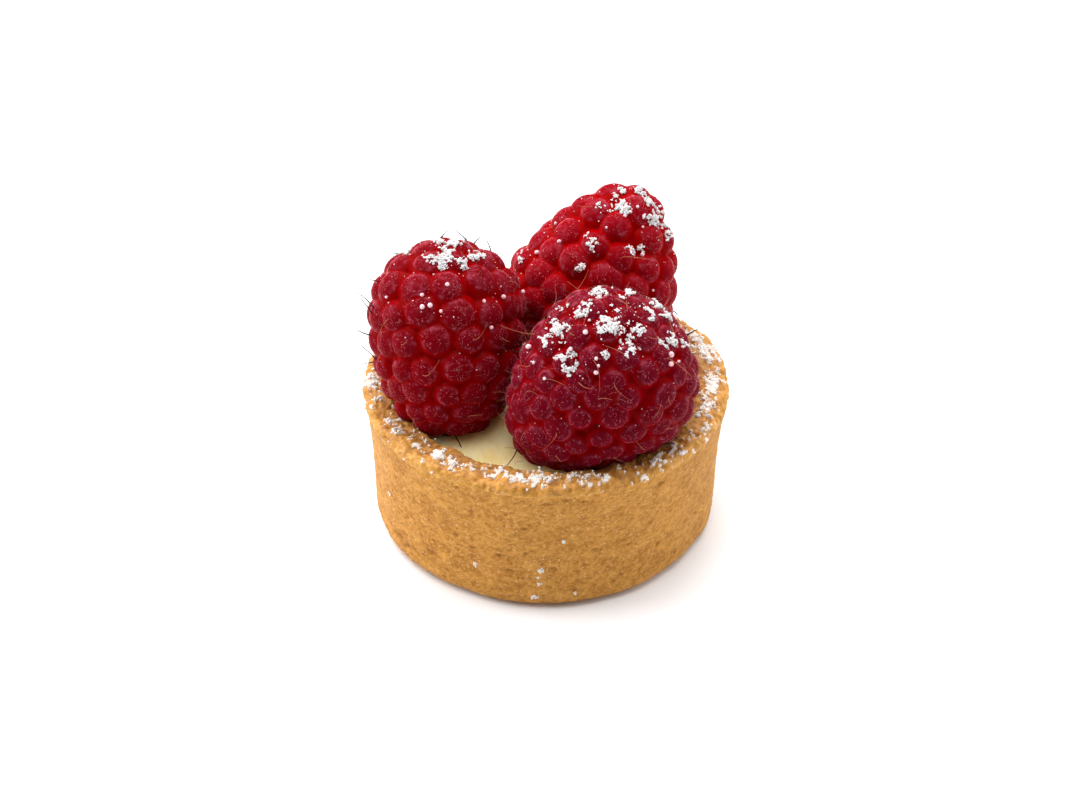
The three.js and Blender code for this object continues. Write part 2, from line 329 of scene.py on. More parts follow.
def grains(centres: Array, radii: Array, flatness: Array, normals: Array, seed: int) -> Surface:
    """Makes a lumpy icosahedron for each grain, squashed along the normal of what it lies on.

    Args:
        centres: the grains' middles in millimetres.
        radii: their radii.
        flatness: the share of its height that each grain keeps along the normal.
        normals: the unit normals of the surface below them.
        seed: picks the lumps.

    Returns:
        All the grains as one surface.
    """
    draws = np.random.default_rng(seed)
    ball = ICO_POINTS / np.linalg.norm(ICO_POINTS[0])
    lumps = draws.uniform(*LUMP_SHARES, (len(centres), len(ball), 1))
    spin = draws.normal(size=(len(centres), 3, 3))
    turn = np.linalg.qr(spin)[0]
    turn *= np.sign(np.linalg.det(turn))[:, None, None]
    shape = np.einsum("nij,kj->nki", turn, ball) * lumps * radii[:, None, None]
    height = np.einsum("nki,ni->nk", shape, normals)
    shape -= (height * (1.0 - flatness[:, None]))[..., None] * normals[:, None]
    faces = icosahedron_faces()[None] + len(ball) * np.arange(len(centres))[:, None, None]
    points = (centres[:, None] + shape).reshape(-1, 3)
    return Surface(points, NO_QUADS, faces.reshape(-1, 3))


@dataclass
class Hairs:
    """Where hairs start and how each one stands.

    outs are the unit normals at the roots, and upright is how much a hair leans out for one part along
    the surface. thickness is the radius at the root, thinning the share of it that is lost by the tip, and
    curl how far the tip is bent aside. sunk is how far the root's end lies below it, and point how far the
    tip's end stands past the last ring.
    """

    roots: Array
    outs: Array
    upright: Array
    length: Array
    thickness: Array
    curl: Array
    sides: int = 4
    thinning: float = 0.55
    sunk: float = 0.02
    point: float = 0.05

    def surface(self, steps: int, seed: int) -> Surface:
        """Makes tapering tubes along the lines root + tilt*length*s + side*curl*s^2, for s from 0 to 1.

        Args:
            steps: how many rings each has.
            seed: picks the directions and bends.

        Returns:
            All the hairs as one surface, hair by hair.
        """
        draws = np.random.default_rng(seed)
        count = len(self.roots)
        lying = np.cross(self.outs, draws.normal(size=self.outs.shape))
        lying /= np.linalg.norm(lying, axis=1, keepdims=True)
        tilt = lying + self.outs * self.upright[:, None]
        tilt /= np.linalg.norm(tilt, axis=1, keepdims=True)
        side = np.cross(tilt, draws.normal(size=self.outs.shape))
        side /= np.linalg.norm(side, axis=1, keepdims=True)
        third = np.cross(tilt, side)
        walk = np.linspace(0.0, 1.0, steps)
        line = self.roots[:, None] + tilt[:, None] * (self.length[:, None] * walk)[..., None]
        line = line + side[:, None] * (self.curl[:, None] * walk**2)[..., None]
        around = 2.0 * np.pi * np.arange(self.sides) / self.sides
        ring = side[:, None, None] * np.cos(around)[:, None] + third[:, None, None] * np.sin(around)[:, None]
        radius = self.thickness[:, None] * (1.0 - self.thinning * walk)
        tubes = line[:, :, None] + ring * radius[:, :, None, None]
        ends = np.stack([line[:, 0] - tilt * self.sunk, line[:, -1] + tilt * self.point], axis=1)
        points = np.concatenate([tubes.reshape(count, -1, 3), ends], axis=1)
        one = closed_grid(tubes[0], ends[0, 0], ends[0, 1])
        jump = len(one.points) * np.arange(count)[:, None, None]
        quads = (one.quads[None] + jump).reshape(-1, 4)
        return Surface(points.reshape(-1, 3), quads, (one.triangles[None] + jump).reshape(-1, 3))


# ---- node graphs

Socket = bpy.types.NodeSocket
Source = Union[Socket, float, tuple[float, ...]]


def per_mm(feature: float) -> float:
    """The texture scale, per metre, whose features are this many millimetres across."""
    return 1.0 / (feature * MM)


class Graph:
    """A node tree that is being wired up, with short calls for the nodes that the finishes use."""

    def __init__(self, tree: bpy.types.NodeTree) -> None:
        """Starts on an empty tree."""
        self.tree = tree
        tree.nodes.clear()

    def node(self, kind: str, **settings: object) -> bpy.types.Node:
        """Adds a node.

        Args:
            kind: the node's type.
            settings: the properties to set on it.

        Returns:
            The node.
        """
        made = self.tree.nodes.new(kind)
        for key, value in settings.items():
            setattr(made, key, value)
        return made

    def feed(self, socket: Socket, source: Source) -> None:
        """Links a socket to its source, or sets it to a plain value.

        Args:
            socket: the input.
            source: the output or the value that feeds it.
        """
        if isinstance(source, Socket):
            self.tree.links.new(source, socket)
        else:
            socket.default_value = source

    def dress(self, shader: bpy.types.Node, **inputs: Source) -> None:
        """Feeds a shader's inputs, each named with _ for the spaces."""
        for name, source in inputs.items():
            self.feed(shader.inputs[name.replace("_", " ")], source)

    def math(self, operation: str, first: Source, second: Source, clamp: bool = False) -> Socket:
        """Adds a Math node.

        Args:
            operation: what it does.
            first: the first value.
            second: the second value.
            clamp: whether the result is held from 0 to 1.

        Returns:
            The result.
        """
        made = self.node("ShaderNodeMath", operation=operation, use_clamp=clamp)
        self.feed(made.inputs[0], first)
        self.feed(made.inputs[1], second)
        return made.outputs[0]

    def plus(self, first: Source, second: Source) -> Socket:
        """The sum of two values."""
        return self.math("ADD", first, second)

    def minus(self, first: Source, second: Source) -> Socket:
        """The first value less the second."""
        return self.math("SUBTRACT", first, second)

    def times(self, first: Source, *others: Source) -> Socket:
        """Multiplies values.

        Args:
            first: a value.
            others: what it is multiplied by.

        Returns:
            The product.
        """
        for other in others:
            first = self.math("MULTIPLY", first, other)
        return first

    def blend(self, share: Source, first: Source, second: Source) -> Socket:
        """Mixes two colours.

        Args:
            share: how much of the second there is, from 0 to 1.
            first: a colour.
            second: a colour.

        Returns:
            The mixed colour.
        """
        made = self.node("ShaderNodeMix", data_type="RGBA", clamp_factor=True)
        self.feed(made.inputs[0], share)
        self.feed(made.inputs[6], first)
        self.feed(made.inputs[7], second)
        return made.outputs[2]

    def layered(self, colour: Source, layers: tuple[tuple[Source, float, Source], ...]) -> Source:
        """Lays colours over a colour, the last on top.

        Args:
            colour: the colour below.
            layers: for each its mask, how strongly it covers where the mask is 1, and its colour.

        Returns:
            The mixed colour.
        """
        for mask, strength, over in layers:
            colour = self.blend(self.times(mask, strength), colour, over)
        return colour

    def span(
        self, value: Source, low: float, high: float, to_low: float = 0.0, to_high: float = 1.0
    ) -> Socket:
        """Maps a value from one range to another with smooth ends.

        Args:
            value: the value.
            low: where its range starts.
            high: where its range ends.
            to_low: the result at low and below.
            to_high: the result at high and above.

        Returns:
            The mapped value.
        """
        made = self.node("ShaderNodeMapRange", interpolation_type="SMOOTHSTEP")
        for socket, source in zip(made.inputs, (value, low, high, to_low, to_high)):
            self.feed(socket, source)
        return made.outputs[0]

    def noise(self, where: Socket, scale: Source, detail: float = 2.0, roughness: float = 0.5) -> Socket:
        """Adds a noise texture.

        Args:
            where: the coordinates.
            scale: its scale per metre.
            detail: how many finer octaves it has.
            roughness: how strong they are.

        Returns:
            Its value.
        """
        made = self.node("ShaderNodeTexNoise")
        self.feed(made.inputs["Vector"], where)
        self.feed(made.inputs["Scale"], scale)
        self.feed(made.inputs["Detail"], detail)
        self.feed(made.inputs["Roughness"], roughness)
        return made.outputs[0]

    def bump(self, height: Socket, strength: float, depth: float) -> Socket:
        """Adds a Bump node.

        Args:
            height: the height, from 0 to 1.
            strength: how strongly it turns the normal.
            depth: how far a height of 1 stands out, in millimetres.

        Returns:
            The turned normal.
        """
        made = self.node("ShaderNodeBump")
        made.inputs["Strength"].default_value = strength
        made.inputs["Distance"].default_value = depth * MM
        self.feed(made.inputs["Height"], height)
        return made.outputs[0]

    def attribute(self, name: str) -> Socket:
        """A point attribute's value."""
        return self.node("ShaderNodeAttribute", attribute_name=name).outputs["Fac"]

    def place(self) -> Socket:
        """The Object coordinates, in metres."""
        return self.node("ShaderNodeTexCoord").outputs["Object"]

    def stretched(self, scale: tuple[float, float, float], turn: float = 0.0) -> Socket:
        """Scales Object coordinates for a pattern that is drawn out one way.

        Args:
            scale: along each axis, under 1 where the pattern is drawn out.
            turn: the turn about Z, in radians.

        Returns:
            The coordinates.
        """
        made = self.node("ShaderNodeMapping")
        self.feed(made.inputs["Vector"], self.place())
        made.inputs["Scale"].default_value = scale
        made.inputs["Rotation"].default_value = (0.0, 0.0, turn)
        return made.outputs[0]

    def grain(self, where: Socket, width: float, amount: float = 1.0) -> bpy.types.bpy_prop_collection:
        """The Height, Light and Dark of grain that is width millimetres across."""
        return self.group(grain_group(), Vector=where, Scale=per_mm(width), Amount=amount)

    def mottle(self, where: Socket, width: float, contrast: float) -> Socket:
        """The tone of patches that are width millimetres across."""
        return self.group(mottle_group(), Vector=where, Scale=per_mm(width), Contrast=contrast)["Tone"]

    def specks(self, where: Socket, width: float) -> Socket:
        """The mask of dots in cells that are width millimetres across."""
        return self.group(specks_group(), Vector=where, Scale=per_mm(width))["Mask"]

    def group(self, tree: bpy.types.NodeTree, **values: Source) -> bpy.types.bpy_prop_collection:
        """Places a shared group.

        Args:
            tree: the group's tree.
            values: what feeds each of its inputs.

        Returns:
            Its outputs.
        """
        made = self.node("ShaderNodeGroup")
        made.node_tree = tree
        for key, value in values.items():
            self.feed(made.inputs[key], value)
        return made.outputs


class Group(Enum):
    """The effects that more than one finish uses."""

    GRAIN = "food_grain"
    MOTTLE = "food_mottle"
    SPECKS = "food_specks"


def start_group(
    kind: Group, inputs: tuple[str, ...], outputs: tuple[str, ...]
) -> tuple[Graph, bpy.types.Node, bpy.types.Node]:
    """Makes a group's tree with its sockets.

    Args:
        kind: which effect it holds.
        inputs: the names of the values that it takes besides its Vector.
        outputs: the names of the values that it puts out.

    Returns:
        The graph, its input node and its output node.
    """
    tree = bpy.data.node_groups.new(kind.value, "ShaderNodeTree")
    graph = Graph(tree)
    tree.interface.new_socket(name="Vector", in_out="INPUT", socket_type="NodeSocketVector")
    for name in inputs:
        tree.interface.new_socket(name=name, in_out="INPUT", socket_type="NodeSocketFloat")
    for name in outputs:
        tree.interface.new_socket(name=name, in_out="OUTPUT", socket_type="NodeSocketFloat")
    return graph, graph.node("NodeGroupInput"), graph.node("NodeGroupOutput")


@cache
def grain_group() -> bpy.types.NodeTree:
    """Makes fine grain, from two sizes of noise.

    Returns:
        The group, which puts out a height and the masks of sparse light and dark specks.
    """
    graph, start, end = start_group(Group.GRAIN, ("Scale", "Amount"), ("Height", "Light", "Dark"))
    where, scale, amount = start.outputs["Vector"], start.outputs["Scale"], start.outputs["Amount"]
    fine = graph.noise(where, scale, detail=3.0, roughness=0.6)
    coarse = graph.noise(where, graph.times(scale, 0.35))
    height = graph.plus(graph.times(fine, 0.6), graph.times(coarse, 0.4))
    results = {"Height": height, "Light": graph.span(fine, 0.60, 0.72), "Dark": graph.span(fine, 0.38, 0.28)}
    for name, result in results.items():
        graph.feed(end.inputs[name], graph.times(result, amount))
    return graph.tree


@cache
def mottle_group() -> bpy.types.NodeTree:
    """Makes soft patches of tone: one broad noise, stretched by a contrast.

    Returns:
        The group, which puts out the tone from 0 to 1.
    """
    graph, start, end = start_group(Group.MOTTLE, ("Scale", "Contrast"), ("Tone",))
    broad = graph.noise(start.outputs["Vector"], start.outputs["Scale"], detail=3.0, roughness=0.55)
    centred = graph.times(graph.minus(broad, 0.5), start.outputs["Contrast"])
    graph.feed(end.inputs["Tone"], graph.math("ADD", centred, 0.5, clamp=True))
    return graph.tree


@cache
def specks_group() -> bpy.types.NodeTree:
    """Makes round dots: the middles of Voronoi cells, in the half of the cells whose own tone is light.

    Returns:
        The group, which puts out the dots' mask.
    """
    graph, start, end = start_group(Group.SPECKS, ("Scale",), ("Mask",))
    cells = graph.node("ShaderNodeTexVoronoi")
    graph.feed(cells.inputs["Vector"], start.outputs["Vector"])
    graph.feed(cells.inputs["Scale"], start.outputs["Scale"])
    middle = graph.span(cells.outputs["Distance"], 0.30, 0.12)
    kept = graph.span(cells.outputs["Color"], 0.48, 0.56)
    graph.feed(end.inputs["Mask"], graph.times(middle, kept))
    return graph.tree


# ---- finishes

Colour = tuple[float, float, float, float]


def start_material(name: str) -> tuple[bpy.types.Material, Graph, bpy.types.Node]:
    """Makes a node material with a Principled shader on its output.

    Args:
        name: the material's name.

    Returns:
        The material, its graph and its shader.
    """
    material = bpy.data.materials.new(name)
    material.use_nodes = True
    graph = Graph(material.node_tree)
    shader = graph.node("ShaderNodeBsdfPrincipled")
    output = graph.node("ShaderNodeOutputMaterial")
    graph.feed(output.inputs["Surface"], shader.outputs[0])
    return material, graph, shader


@dataclass(frozen=True)
class Glow:
    """How light goes into a food.

    share is how much of it does, reach how far red, green and blue go as shares of depth, in millimetres.
    """

    share: float
    reach: tuple[float, float, float]
    depth: float

    def dress(self, shader: bpy.types.Node) -> None:
        """Sets a shader's subsurface values.

        Args:
            shader: the Principled shader.
        """
        shader.inputs["Subsurface Weight"].default_value = self.share
        shader.inputs["Subsurface Radius"].default_value = self.reach
        shader.inputs["Subsurface Scale"].default_value = self.depth * MM


@dataclass(frozen=True)
class PastryFinish:
    """Baked shortcrust: golden tan, grainy, darker in its pores by painted shade, dusted where the sugar
    lies.

    Widths and depths are in millimetres. shine is how strongly the rim is glazed.
    """

    tan: Colour = (0.34, 0.13, 0.018, 1.0)
    golden: Colour = (0.66, 0.32, 0.068, 1.0)
    # This colour is a painted highlight on the rim's outer band, over golden browning.
    amber: Colour = (0.70, 0.35, 0.06, 1.0)
    # This colour is the crust's real browning and dark grain, and the painted shade in its crevices and
    # pores.
    brown: Colour = (0.22, 0.075, 0.012, 1.0)
    pale: Colour = (0.88, 0.60, 0.26, 1.0)
    fleck: Colour = (0.90, 0.62, 0.32, 1.0)
    sugar: Colour = (0.96, 0.93, 0.90, 1.0)
    patch_width: float = 3.2
    grain_width: float = 0.24
    fleck_width: float = 0.5
    pinhole_width: float = 0.75
    grain_depth: float = 0.12
    shine: float = 0.45
    glow: Glow = Glow(0.12, (1.0, 0.55, 0.2), 0.5)

    def material(self) -> bpy.types.Material:
        """Builds the material from the grit, lip, bake, glaze, pore and dust attributes and fine grain.

        Some of these carry painted shade in the low spots, crevices and pores, and a painted highlight on the
        rim's outer band, over the pastry's own tones.

        Returns:
            The material.
        """
        material, graph, shader = start_material("shortcrust")
        where = graph.place()
        patches = graph.mottle(where, self.patch_width, 1.6)
        grain = graph.grain(where, self.grain_width)
        flecks = graph.specks(where, self.fleck_width)
        pinholes = graph.specks(where, self.pinhole_width)
        # The tone follows the relief: painted shade on its low spots and painted light on its raised grains,
        # over the pastry's own mottle.
        tone = graph.plus(graph.times(patches, 0.4), graph.times(graph.attribute("grit_and_shade"), 0.65))
        layers = (
            # Real browning on the rim, and painted shade in the crevices and over the inner edge.
            (graph.attribute("bake_and_shade"), 0.75, self.brown),
            # Painted highlight on the rim's outer band.
            (graph.attribute("lip_highlight"), 0.65, self.amber),
            (grain["Light"], 0.5, self.pale),
            (flecks, 0.4, self.fleck),
            (grain["Dark"], 0.6, self.brown),
            (pinholes, 0.5, self.brown),
            # Painted shade in the pits and dents of the wall.
            (graph.attribute("pore"), 1.0, self.brown),
            (graph.attribute("dust"), 1.0, self.sugar),
        )
        graph.dress(
            shader,
            Base_Color=graph.layered(graph.blend(tone, self.tan, self.golden), layers),
            Roughness=graph.span(grain["Height"], 0.3, 0.7, 0.5, 0.75),
            Normal=graph.bump(grain["Height"], 0.6, self.grain_depth),
            Coat_Weight=graph.times(graph.attribute("glaze"), self.shine),
            Coat_Roughness=0.28,
            Specular_IOR_Level=0.12,
        )
        self.glow.dress(shader)
        return material


@dataclass(frozen=True)
class CreamFinish:
    """Set pastry cream: pale yellow with faint streaks and a soft skin.

    Widths and depths are in millimetres.
    """

    pale: Colour = (0.90, 0.78, 0.46, 1.0)
    deep: Colour = (0.78, 0.56, 0.20, 1.0)
    streak_width: float = 2.0
    streak_shape: tuple[float, float, float] = (1.0, 0.45, 1.0)
    streak_turn: float = 0.5
    grain_width: float = 0.8
    streak_depth: float = 0.2
    glow: Glow = Glow(1.0, (1.0, 0.8, 0.45), 3.0)

    def material(self) -> bpy.types.Material:
        """Builds the material: streaks from noise stretched across the cream, and a satin skin.

        Returns:
            The material.
        """
        material, graph, shader = start_material("pastry_cream")
        drawn_out = graph.stretched(self.streak_shape, self.streak_turn)
        streak = graph.mottle(drawn_out, self.streak_width, 2.2)
        grain = graph.grain(graph.place(), self.grain_width, 0.5)
        height = graph.plus(streak, grain["Height"])
        graph.dress(
            shader,
            Base_Color=graph.blend(streak, self.pale, self.deep),
            Roughness=graph.span(streak, 0.2, 0.8, 0.34, 0.5),
            Normal=graph.bump(height, 0.5, self.streak_depth),
        )
        self.glow.dress(shader)
        return material


@dataclass(frozen=True)
class RaspberryFinish:
    """Ripe raspberry: glassy crimson in the creases, a frosted disc on each drupelet's cap.

    Widths and depths are in millimetres. depth is how far light travels in the flesh.
    """

    name: str = "raspberry"
    crease: Colour = (0.225, 0.0, 0.0006, 1.0)
    flesh: Colour = (0.17, 0.0002, 0.002, 1.0)
    bloom: Colour = (0.165, 0.0008, 0.0065, 1.0)
    # This colour tints the down's light specks, and the painted highlights on the discs' edges and upward
    # faces.
    felt_and_highlight: Colour = (0.36, 0.055, 0.09, 1.0)
    # This colour tints the frost's dots, and the painted rim highlight where the discs turn from the view.
    dots_and_rim_highlight: Colour = (0.52, 0.15, 0.18, 1.0)
    sheen: Colour = (1.0, 0.55, 0.65, 1.0)
    depth: float = 0.6
    ragged_width: float = 0.6
    patch_width: float = 1.1
    hair_width: float = 0.22
    hair_shape: tuple[float, float, float] = (1.0, 1.0, 0.4)
    dot_width: float = 0.36
    frost_depth: float = 0.05

    def material(self) -> bpy.types.Material:
        """Builds the material: a frosted disc on each drupelet, painted paler at its edge as a highlight,
        glassy red between.

        Returns:
            The material.
        """
        material, graph, shader = start_material(self.name)
        where = graph.place()
        fine = graph.mottle(where, self.ragged_width, 1.0)
        mottle = graph.mottle(where, self.patch_width, 1.8)
        hairs = graph.stretched(self.hair_shape)
        grain = graph.grain(hairs, self.hair_width)
        dots = graph.specks(where, self.dot_width)
        inward = graph.plus(graph.attribute("inward"), graph.minus(fine, 0.5))
        disc = graph.span(inward, 0.35, 1.25)
        # Painted highlight: a paler ring at the edge of each frosted disc, where light would catch its rim.
        edge = graph.times(disc, graph.minus(1.0, graph.span(inward, 1.1, 2.0)))
        patch = graph.span(mottle, 0.4, 0.85)
        # Painted reflection: where the skin turns away from the view, the frosted discs are painted paler, as
        # a rim of reflected light.
        facing = graph.node("ShaderNodeLayerWeight")
        facing.inputs["Blend"].default_value = 0.5
        turned = graph.span(facing.outputs["Facing"], 0.6, 1.0)
        cloudy = graph.plus(graph.times(mottle, 0.5), 0.35)
        ripeness = graph.plus(graph.times(graph.attribute("tone"), 0.5), 0.6)
        layers = (
            (graph.times(disc, cloudy, ripeness), 1.0, self.bloom),
            # Painted highlight on the discs' edges.
            (graph.times(edge, patch), 0.5, self.felt_and_highlight),
            (graph.times(grain["Light"], disc), 0.35, self.felt_and_highlight),
            (graph.times(dots, disc), 0.6, self.dots_and_rim_highlight),
            # Painted highlight on the upward faces of the discs.
            (graph.times(graph.attribute("top_highlight"), disc, patch), 0.3, self.felt_and_highlight),
            # Painted rim highlight where the discs turn from the view.
            (graph.times(turned, disc, patch), 0.8, self.dots_and_rim_highlight),
        )
        frost = graph.plus(graph.times(grain["Height"], disc), disc)
        graph.dress(
            shader,
            Base_Color=graph.layered(graph.blend(disc, self.crease, self.flesh), layers),
            Roughness=graph.span(disc, 0.0, 1.0, 0.24, 0.5),
            Normal=graph.bump(frost, 0.3, self.frost_depth),
            Specular_IOR_Level=0.015,
            Sheen_Weight=0.01,
            Sheen_Roughness=0.25,
            Sheen_Tint=self.sheen,
        )
        Glow(0.5, (1.0, 0.06, 0.08), self.depth).dress(shader)
        return material


@dataclass(frozen=True)
class SugarFinish:
    """Powdered sugar: white and matt, or stained by what lies below it.

    wet is 0 for dry powder and 1 for sugar that has drunk the juice below it. Widths are in millimetres.
    """

    name: str = "powdered_sugar"
    white: Colour = (0.98, 0.97, 0.97, 1.0)
    damp: Colour = (0.86, 0.48, 0.54, 1.0)
    wet: float = 0.0
    roughness: float = 0.8
    roughness_spread: float = 0.08
    stain_width: float = 1.1
    grain_width: float = 0.15
    glow: Glow = Glow(0.7, (1.0, 0.95, 0.92), 0.35)

    def material(self) -> bpy.types.Material:
        """Builds the material: stains from soft mottling, more of them the wetter it is.

        Returns:
            The material.
        """
        material, graph, shader = start_material(self.name)
        where = graph.place()
        mottle = graph.mottle(where, self.stain_width, 1.5)
        grain = graph.grain(where, self.grain_width)
        stain = graph.times(graph.plus(mottle, 0.6 * self.wet), 0.12 + 0.6 * self.wet)
        smooth, rough = self.roughness - self.roughness_spread, self.roughness + self.roughness_spread
        graph.dress(
            shader,
            Base_Color=graph.blend(stain, self.white, self.damp),
            Roughness=graph.span(grain["Height"], 0.3, 0.7, smooth, rough),
        )
        self.glow.dress(shader)
        return material


@dataclass(frozen=True)
class StyleFinish:
    """The dry styles and the down of the drupelets, from a light to a dark tone.

    Widths are in millimetres.
    """

    name: str = "style"
    amber: Colour = (0.50, 0.17, 0.08, 1.0)
    dark: Colour = (0.02, 0.01, 0.008, 1.0)
    mottle_width: float = 0.6

    def material(self) -> bpy.types.Material:
        """Builds the material from the tone attribute, with a little mottling along each hair.

        Returns:
            The material.
        """
        material, graph, shader = start_material(self.name)
        where = graph.place()
        mottle = graph.mottle(where, self.mottle_width, 1.5)
        shade = graph.plus(graph.attribute("tone"), graph.times(mottle, 0.2))
        graph.dress(
            shader,
            Base_Color=graph.blend(shade, self.amber, self.dark),
            Roughness=graph.span(mottle, 0.2, 0.8, 0.45, 0.6),
            Specular_IOR_Level=0.15,
        )
        return material


@dataclass(frozen=True)
class TableFinish:
    """White tabletop with a faint unevenness of tone. Widths are in millimetres."""

    shade: Colour = (0.90, 0.91, 0.93, 1.0)
    white: Colour = (0.91, 0.92, 0.94, 1.0)
    mottle_width: float = 60.0

    def material(self) -> bpy.types.Material:
        """Builds the material.

        Returns:
            The material.
        """
        material, graph, shader = start_material("table_white")
        where = graph.place()
        mottle = graph.mottle(where, self.mottle_width, 0.6)
        colour = graph.blend(mottle, self.shade, self.white)
        graph.dress(shader, Base_Color=colour, Roughness=0.8, Specular_IOR_Level=0.2)
        return material


# ---- the raspberries


@dataclass
class Raspberry:
    """A raspberry: a core of two half superellipsoids, covered with balls seated in staggered rows.

    The core's surface is where the square of the share of the radius, plus the share of the reach raised to
    the taper, is 1. The skin rises from it along its normal to the furthest ball.

    What lies on the berry is placed by the way to it from the berry's middle, as a bearing and a climb in
    degrees: clumps adds the half width of each clump of sugar, beads has nothing more, and strays adds the
    bearing, climb and length of each long dark style.

    The balls are ball_share of a pitch in radius, and pillow is the power of their domes' superellipse.
    Balls seated below bald_level are sunk in the cream and left out. frost_edge is the share of a ball's top
    that counts as one step inward, and top_highlight_climb the slopes between which the painted highlight on
    the upward faces sets in.
    """

    name: str
    node: str
    place: tuple[float, float, float]
    lean: tuple[float, float]
    radius: float
    tip: float
    base: float
    taper: float
    oval: float
    pitch: float
    twist: float
    seed: int
    spin: float
    base_taper: float
    clumps: tuple[tuple[float, float, float], ...]
    beads: tuple[tuple[float, float], ...]
    strays: tuple[tuple[float, float, float, float, float], ...]
    proud: float = 1.0
    ball_share: float = 0.64
    row_share: float = 0.87
    pitch_vary: float = 0.1
    angle_jitter: float = 0.16
    row_jitter: float = 0.12
    size_jitter: float = 0.13
    crease_floor: float = -0.25
    crease_round: float = 0.15
    bald_level: float = 16.6
    frost_edge: float = 0.22
    top_highlight_climb: tuple[float, float] = (0.15, 0.95)
    pillow: float = 2.1
    samples: int = 400
    rings: int = 200
    columns: int = 360
    draws_kept: int = 3000
    levels_tried: int = 40
    halvings: int = 24

    def turn(self) -> Array:
        """Works out the way the berry lies.

        Returns:
            Its width, depth and axis directions as the rows of a matrix.
        """
        axis = np.array([self.lean[0], self.lean[1], 1.0])
        axis /= np.linalg.norm(axis)
        across = np.cross([0.0, 1.0, 0.0], axis)
        across /= np.linalg.norm(across)
        width = across * math.cos(self.spin) + np.cross(axis, across) * math.sin(self.spin)
        return np.array([width, np.cross(axis, width), axis])

    def to_tart(self, points: Array) -> Array:
        """Points from the berry's own axes to the tart's."""
        return points @ self.turn() + np.array(self.place)

    def half(self, side: Array, inset: float) -> tuple[Array, Array]:
        """The reach and the taper of the half that each place is in: the tip's where side is over 0."""
        reach = np.where(side > 0, self.tip, self.base) - inset
        return reach, np.where(side > 0, self.taper, self.base_taper)

    def profile(self, inset: float, angle: Array) -> tuple[Array, Array]:
        """Works out the core's section, a half superellipse each way.

        Args:
            inset: how far inside the whole berry it runs.
            angle: from -90 degrees at the hidden end to +90 at the tip, in radians.

        Returns:
            The radius and the height.
        """
        reach, taper = self.half(angle, inset)
        height = np.sign(angle) * reach * np.abs(np.sin(angle)) ** (2.0 / taper)
        return (self.radius - inset) * np.cos(angle), height

    def core_value(self, points: Array, inset: float) -> Array:
        """Works out the core's equation, the square of the radius's share plus the reach's to the taper.

        Args:
            points: places in the berry's own axes.
            inset: how far inside the whole berry the core runs.

        Returns:
            The value at each place: 1 on the core and less inside it.
        """
        across = (points[..., 0] ** 2 + (points[..., 1] / self.oval) ** 2) / (self.radius - inset) ** 2
        reach, taper = self.half(points[..., 2], inset)
        return across + (np.abs(points[..., 2]) / reach) ** taper

    def core_normals(self, points: Array) -> Array:
        """Works out the unit gradient of the core's equation.

        Args:
            points: places in the berry's own axes.

        Returns:
            One normal for each place.
        """
        reach, taper = self.half(points[..., 2], self.proud)
        height = np.abs(points[..., 2])
        slope = np.sign(points[..., 2]) * taper * height ** (taper - 1.0) / reach**taper
        across = 2.0 / (self.radius - self.proud) ** 2
        x, y = across * points[..., 0], across * points[..., 1] / self.oval**2
        gradient = np.stack([x, y, slope], axis=-1)
        return gradient / np.linalg.norm(gradient, axis=-1, keepdims=True)

    def walk(self) -> tuple[Array, Array, Array, Array]:
        """Samples the core's section from the tip.

        Returns:
            The angle, the radius, the height and the distance walked at each sample.
        """
        angle = np.pi * (0.5 - np.arange(self.samples + 1) / self.samples)
        radius, height = self.profile(self.proud, angle)
        steps = np.hypot(np.diff(radius), np.diff(height))
        return angle, radius, height, np.concatenate([[0.0], np.cumsum(steps)])

    def drupelets(self) -> tuple[Array, Array, Array]:
        """Seats the balls in rows from the tip, each row staggered on the last.

        Returns:
            Their seats on the core, their middles and their radii, in the berry's own axes.
        """
        _, radii, heights, walked = self.walk()
        draws = iter(seeded_stream(self.seed, self.draws_kept))
        turn = self.twist
        seats = []
        sizes = []
        distance = 0.0
        while distance < walked[-1]:
            pitch = self.pitch * (1.0 + self.pitch_vary * (2.0 * next(draws) - 1.0))
            row_radius = radii[min(np.searchsorted(walked, distance), self.samples)]
            count = max(1, int(math.floor(2.0 * math.pi * row_radius / pitch + 0.5)))
            step = 2.0 * math.pi / count
            turn += step / 2.0
            for i in range(count):
                angle = turn + step * (i + self.angle_jitter * (2.0 * next(draws) - 1.0))
                aim = distance
                if distance > 0:
                    aim += pitch * self.row_jitter * (2.0 * next(draws) - 1.0)
                size = pitch * (1.0 + self.size_jitter * (2.0 * next(draws) - 1.0))
                k = min(np.searchsorted(walked, min(aim, walked[-1])), self.samples)
                seat = (radii[k] * math.cos(angle), self.oval * radii[k] * math.sin(angle), heights[k])
                seats.append(seat)
                sizes.append(size)
            distance += pitch * self.row_share
        seats = np.array(seats)
        shown = self.to_tart(seats)[:, 2] >= self.bald_level
        seats = seats[shown]
        balls = self.ball_share * np.array(sizes)[shown]
        middles = seats + self.core_normals(seats) * (self.proud - balls)[:, None]
        return seats, middles, balls

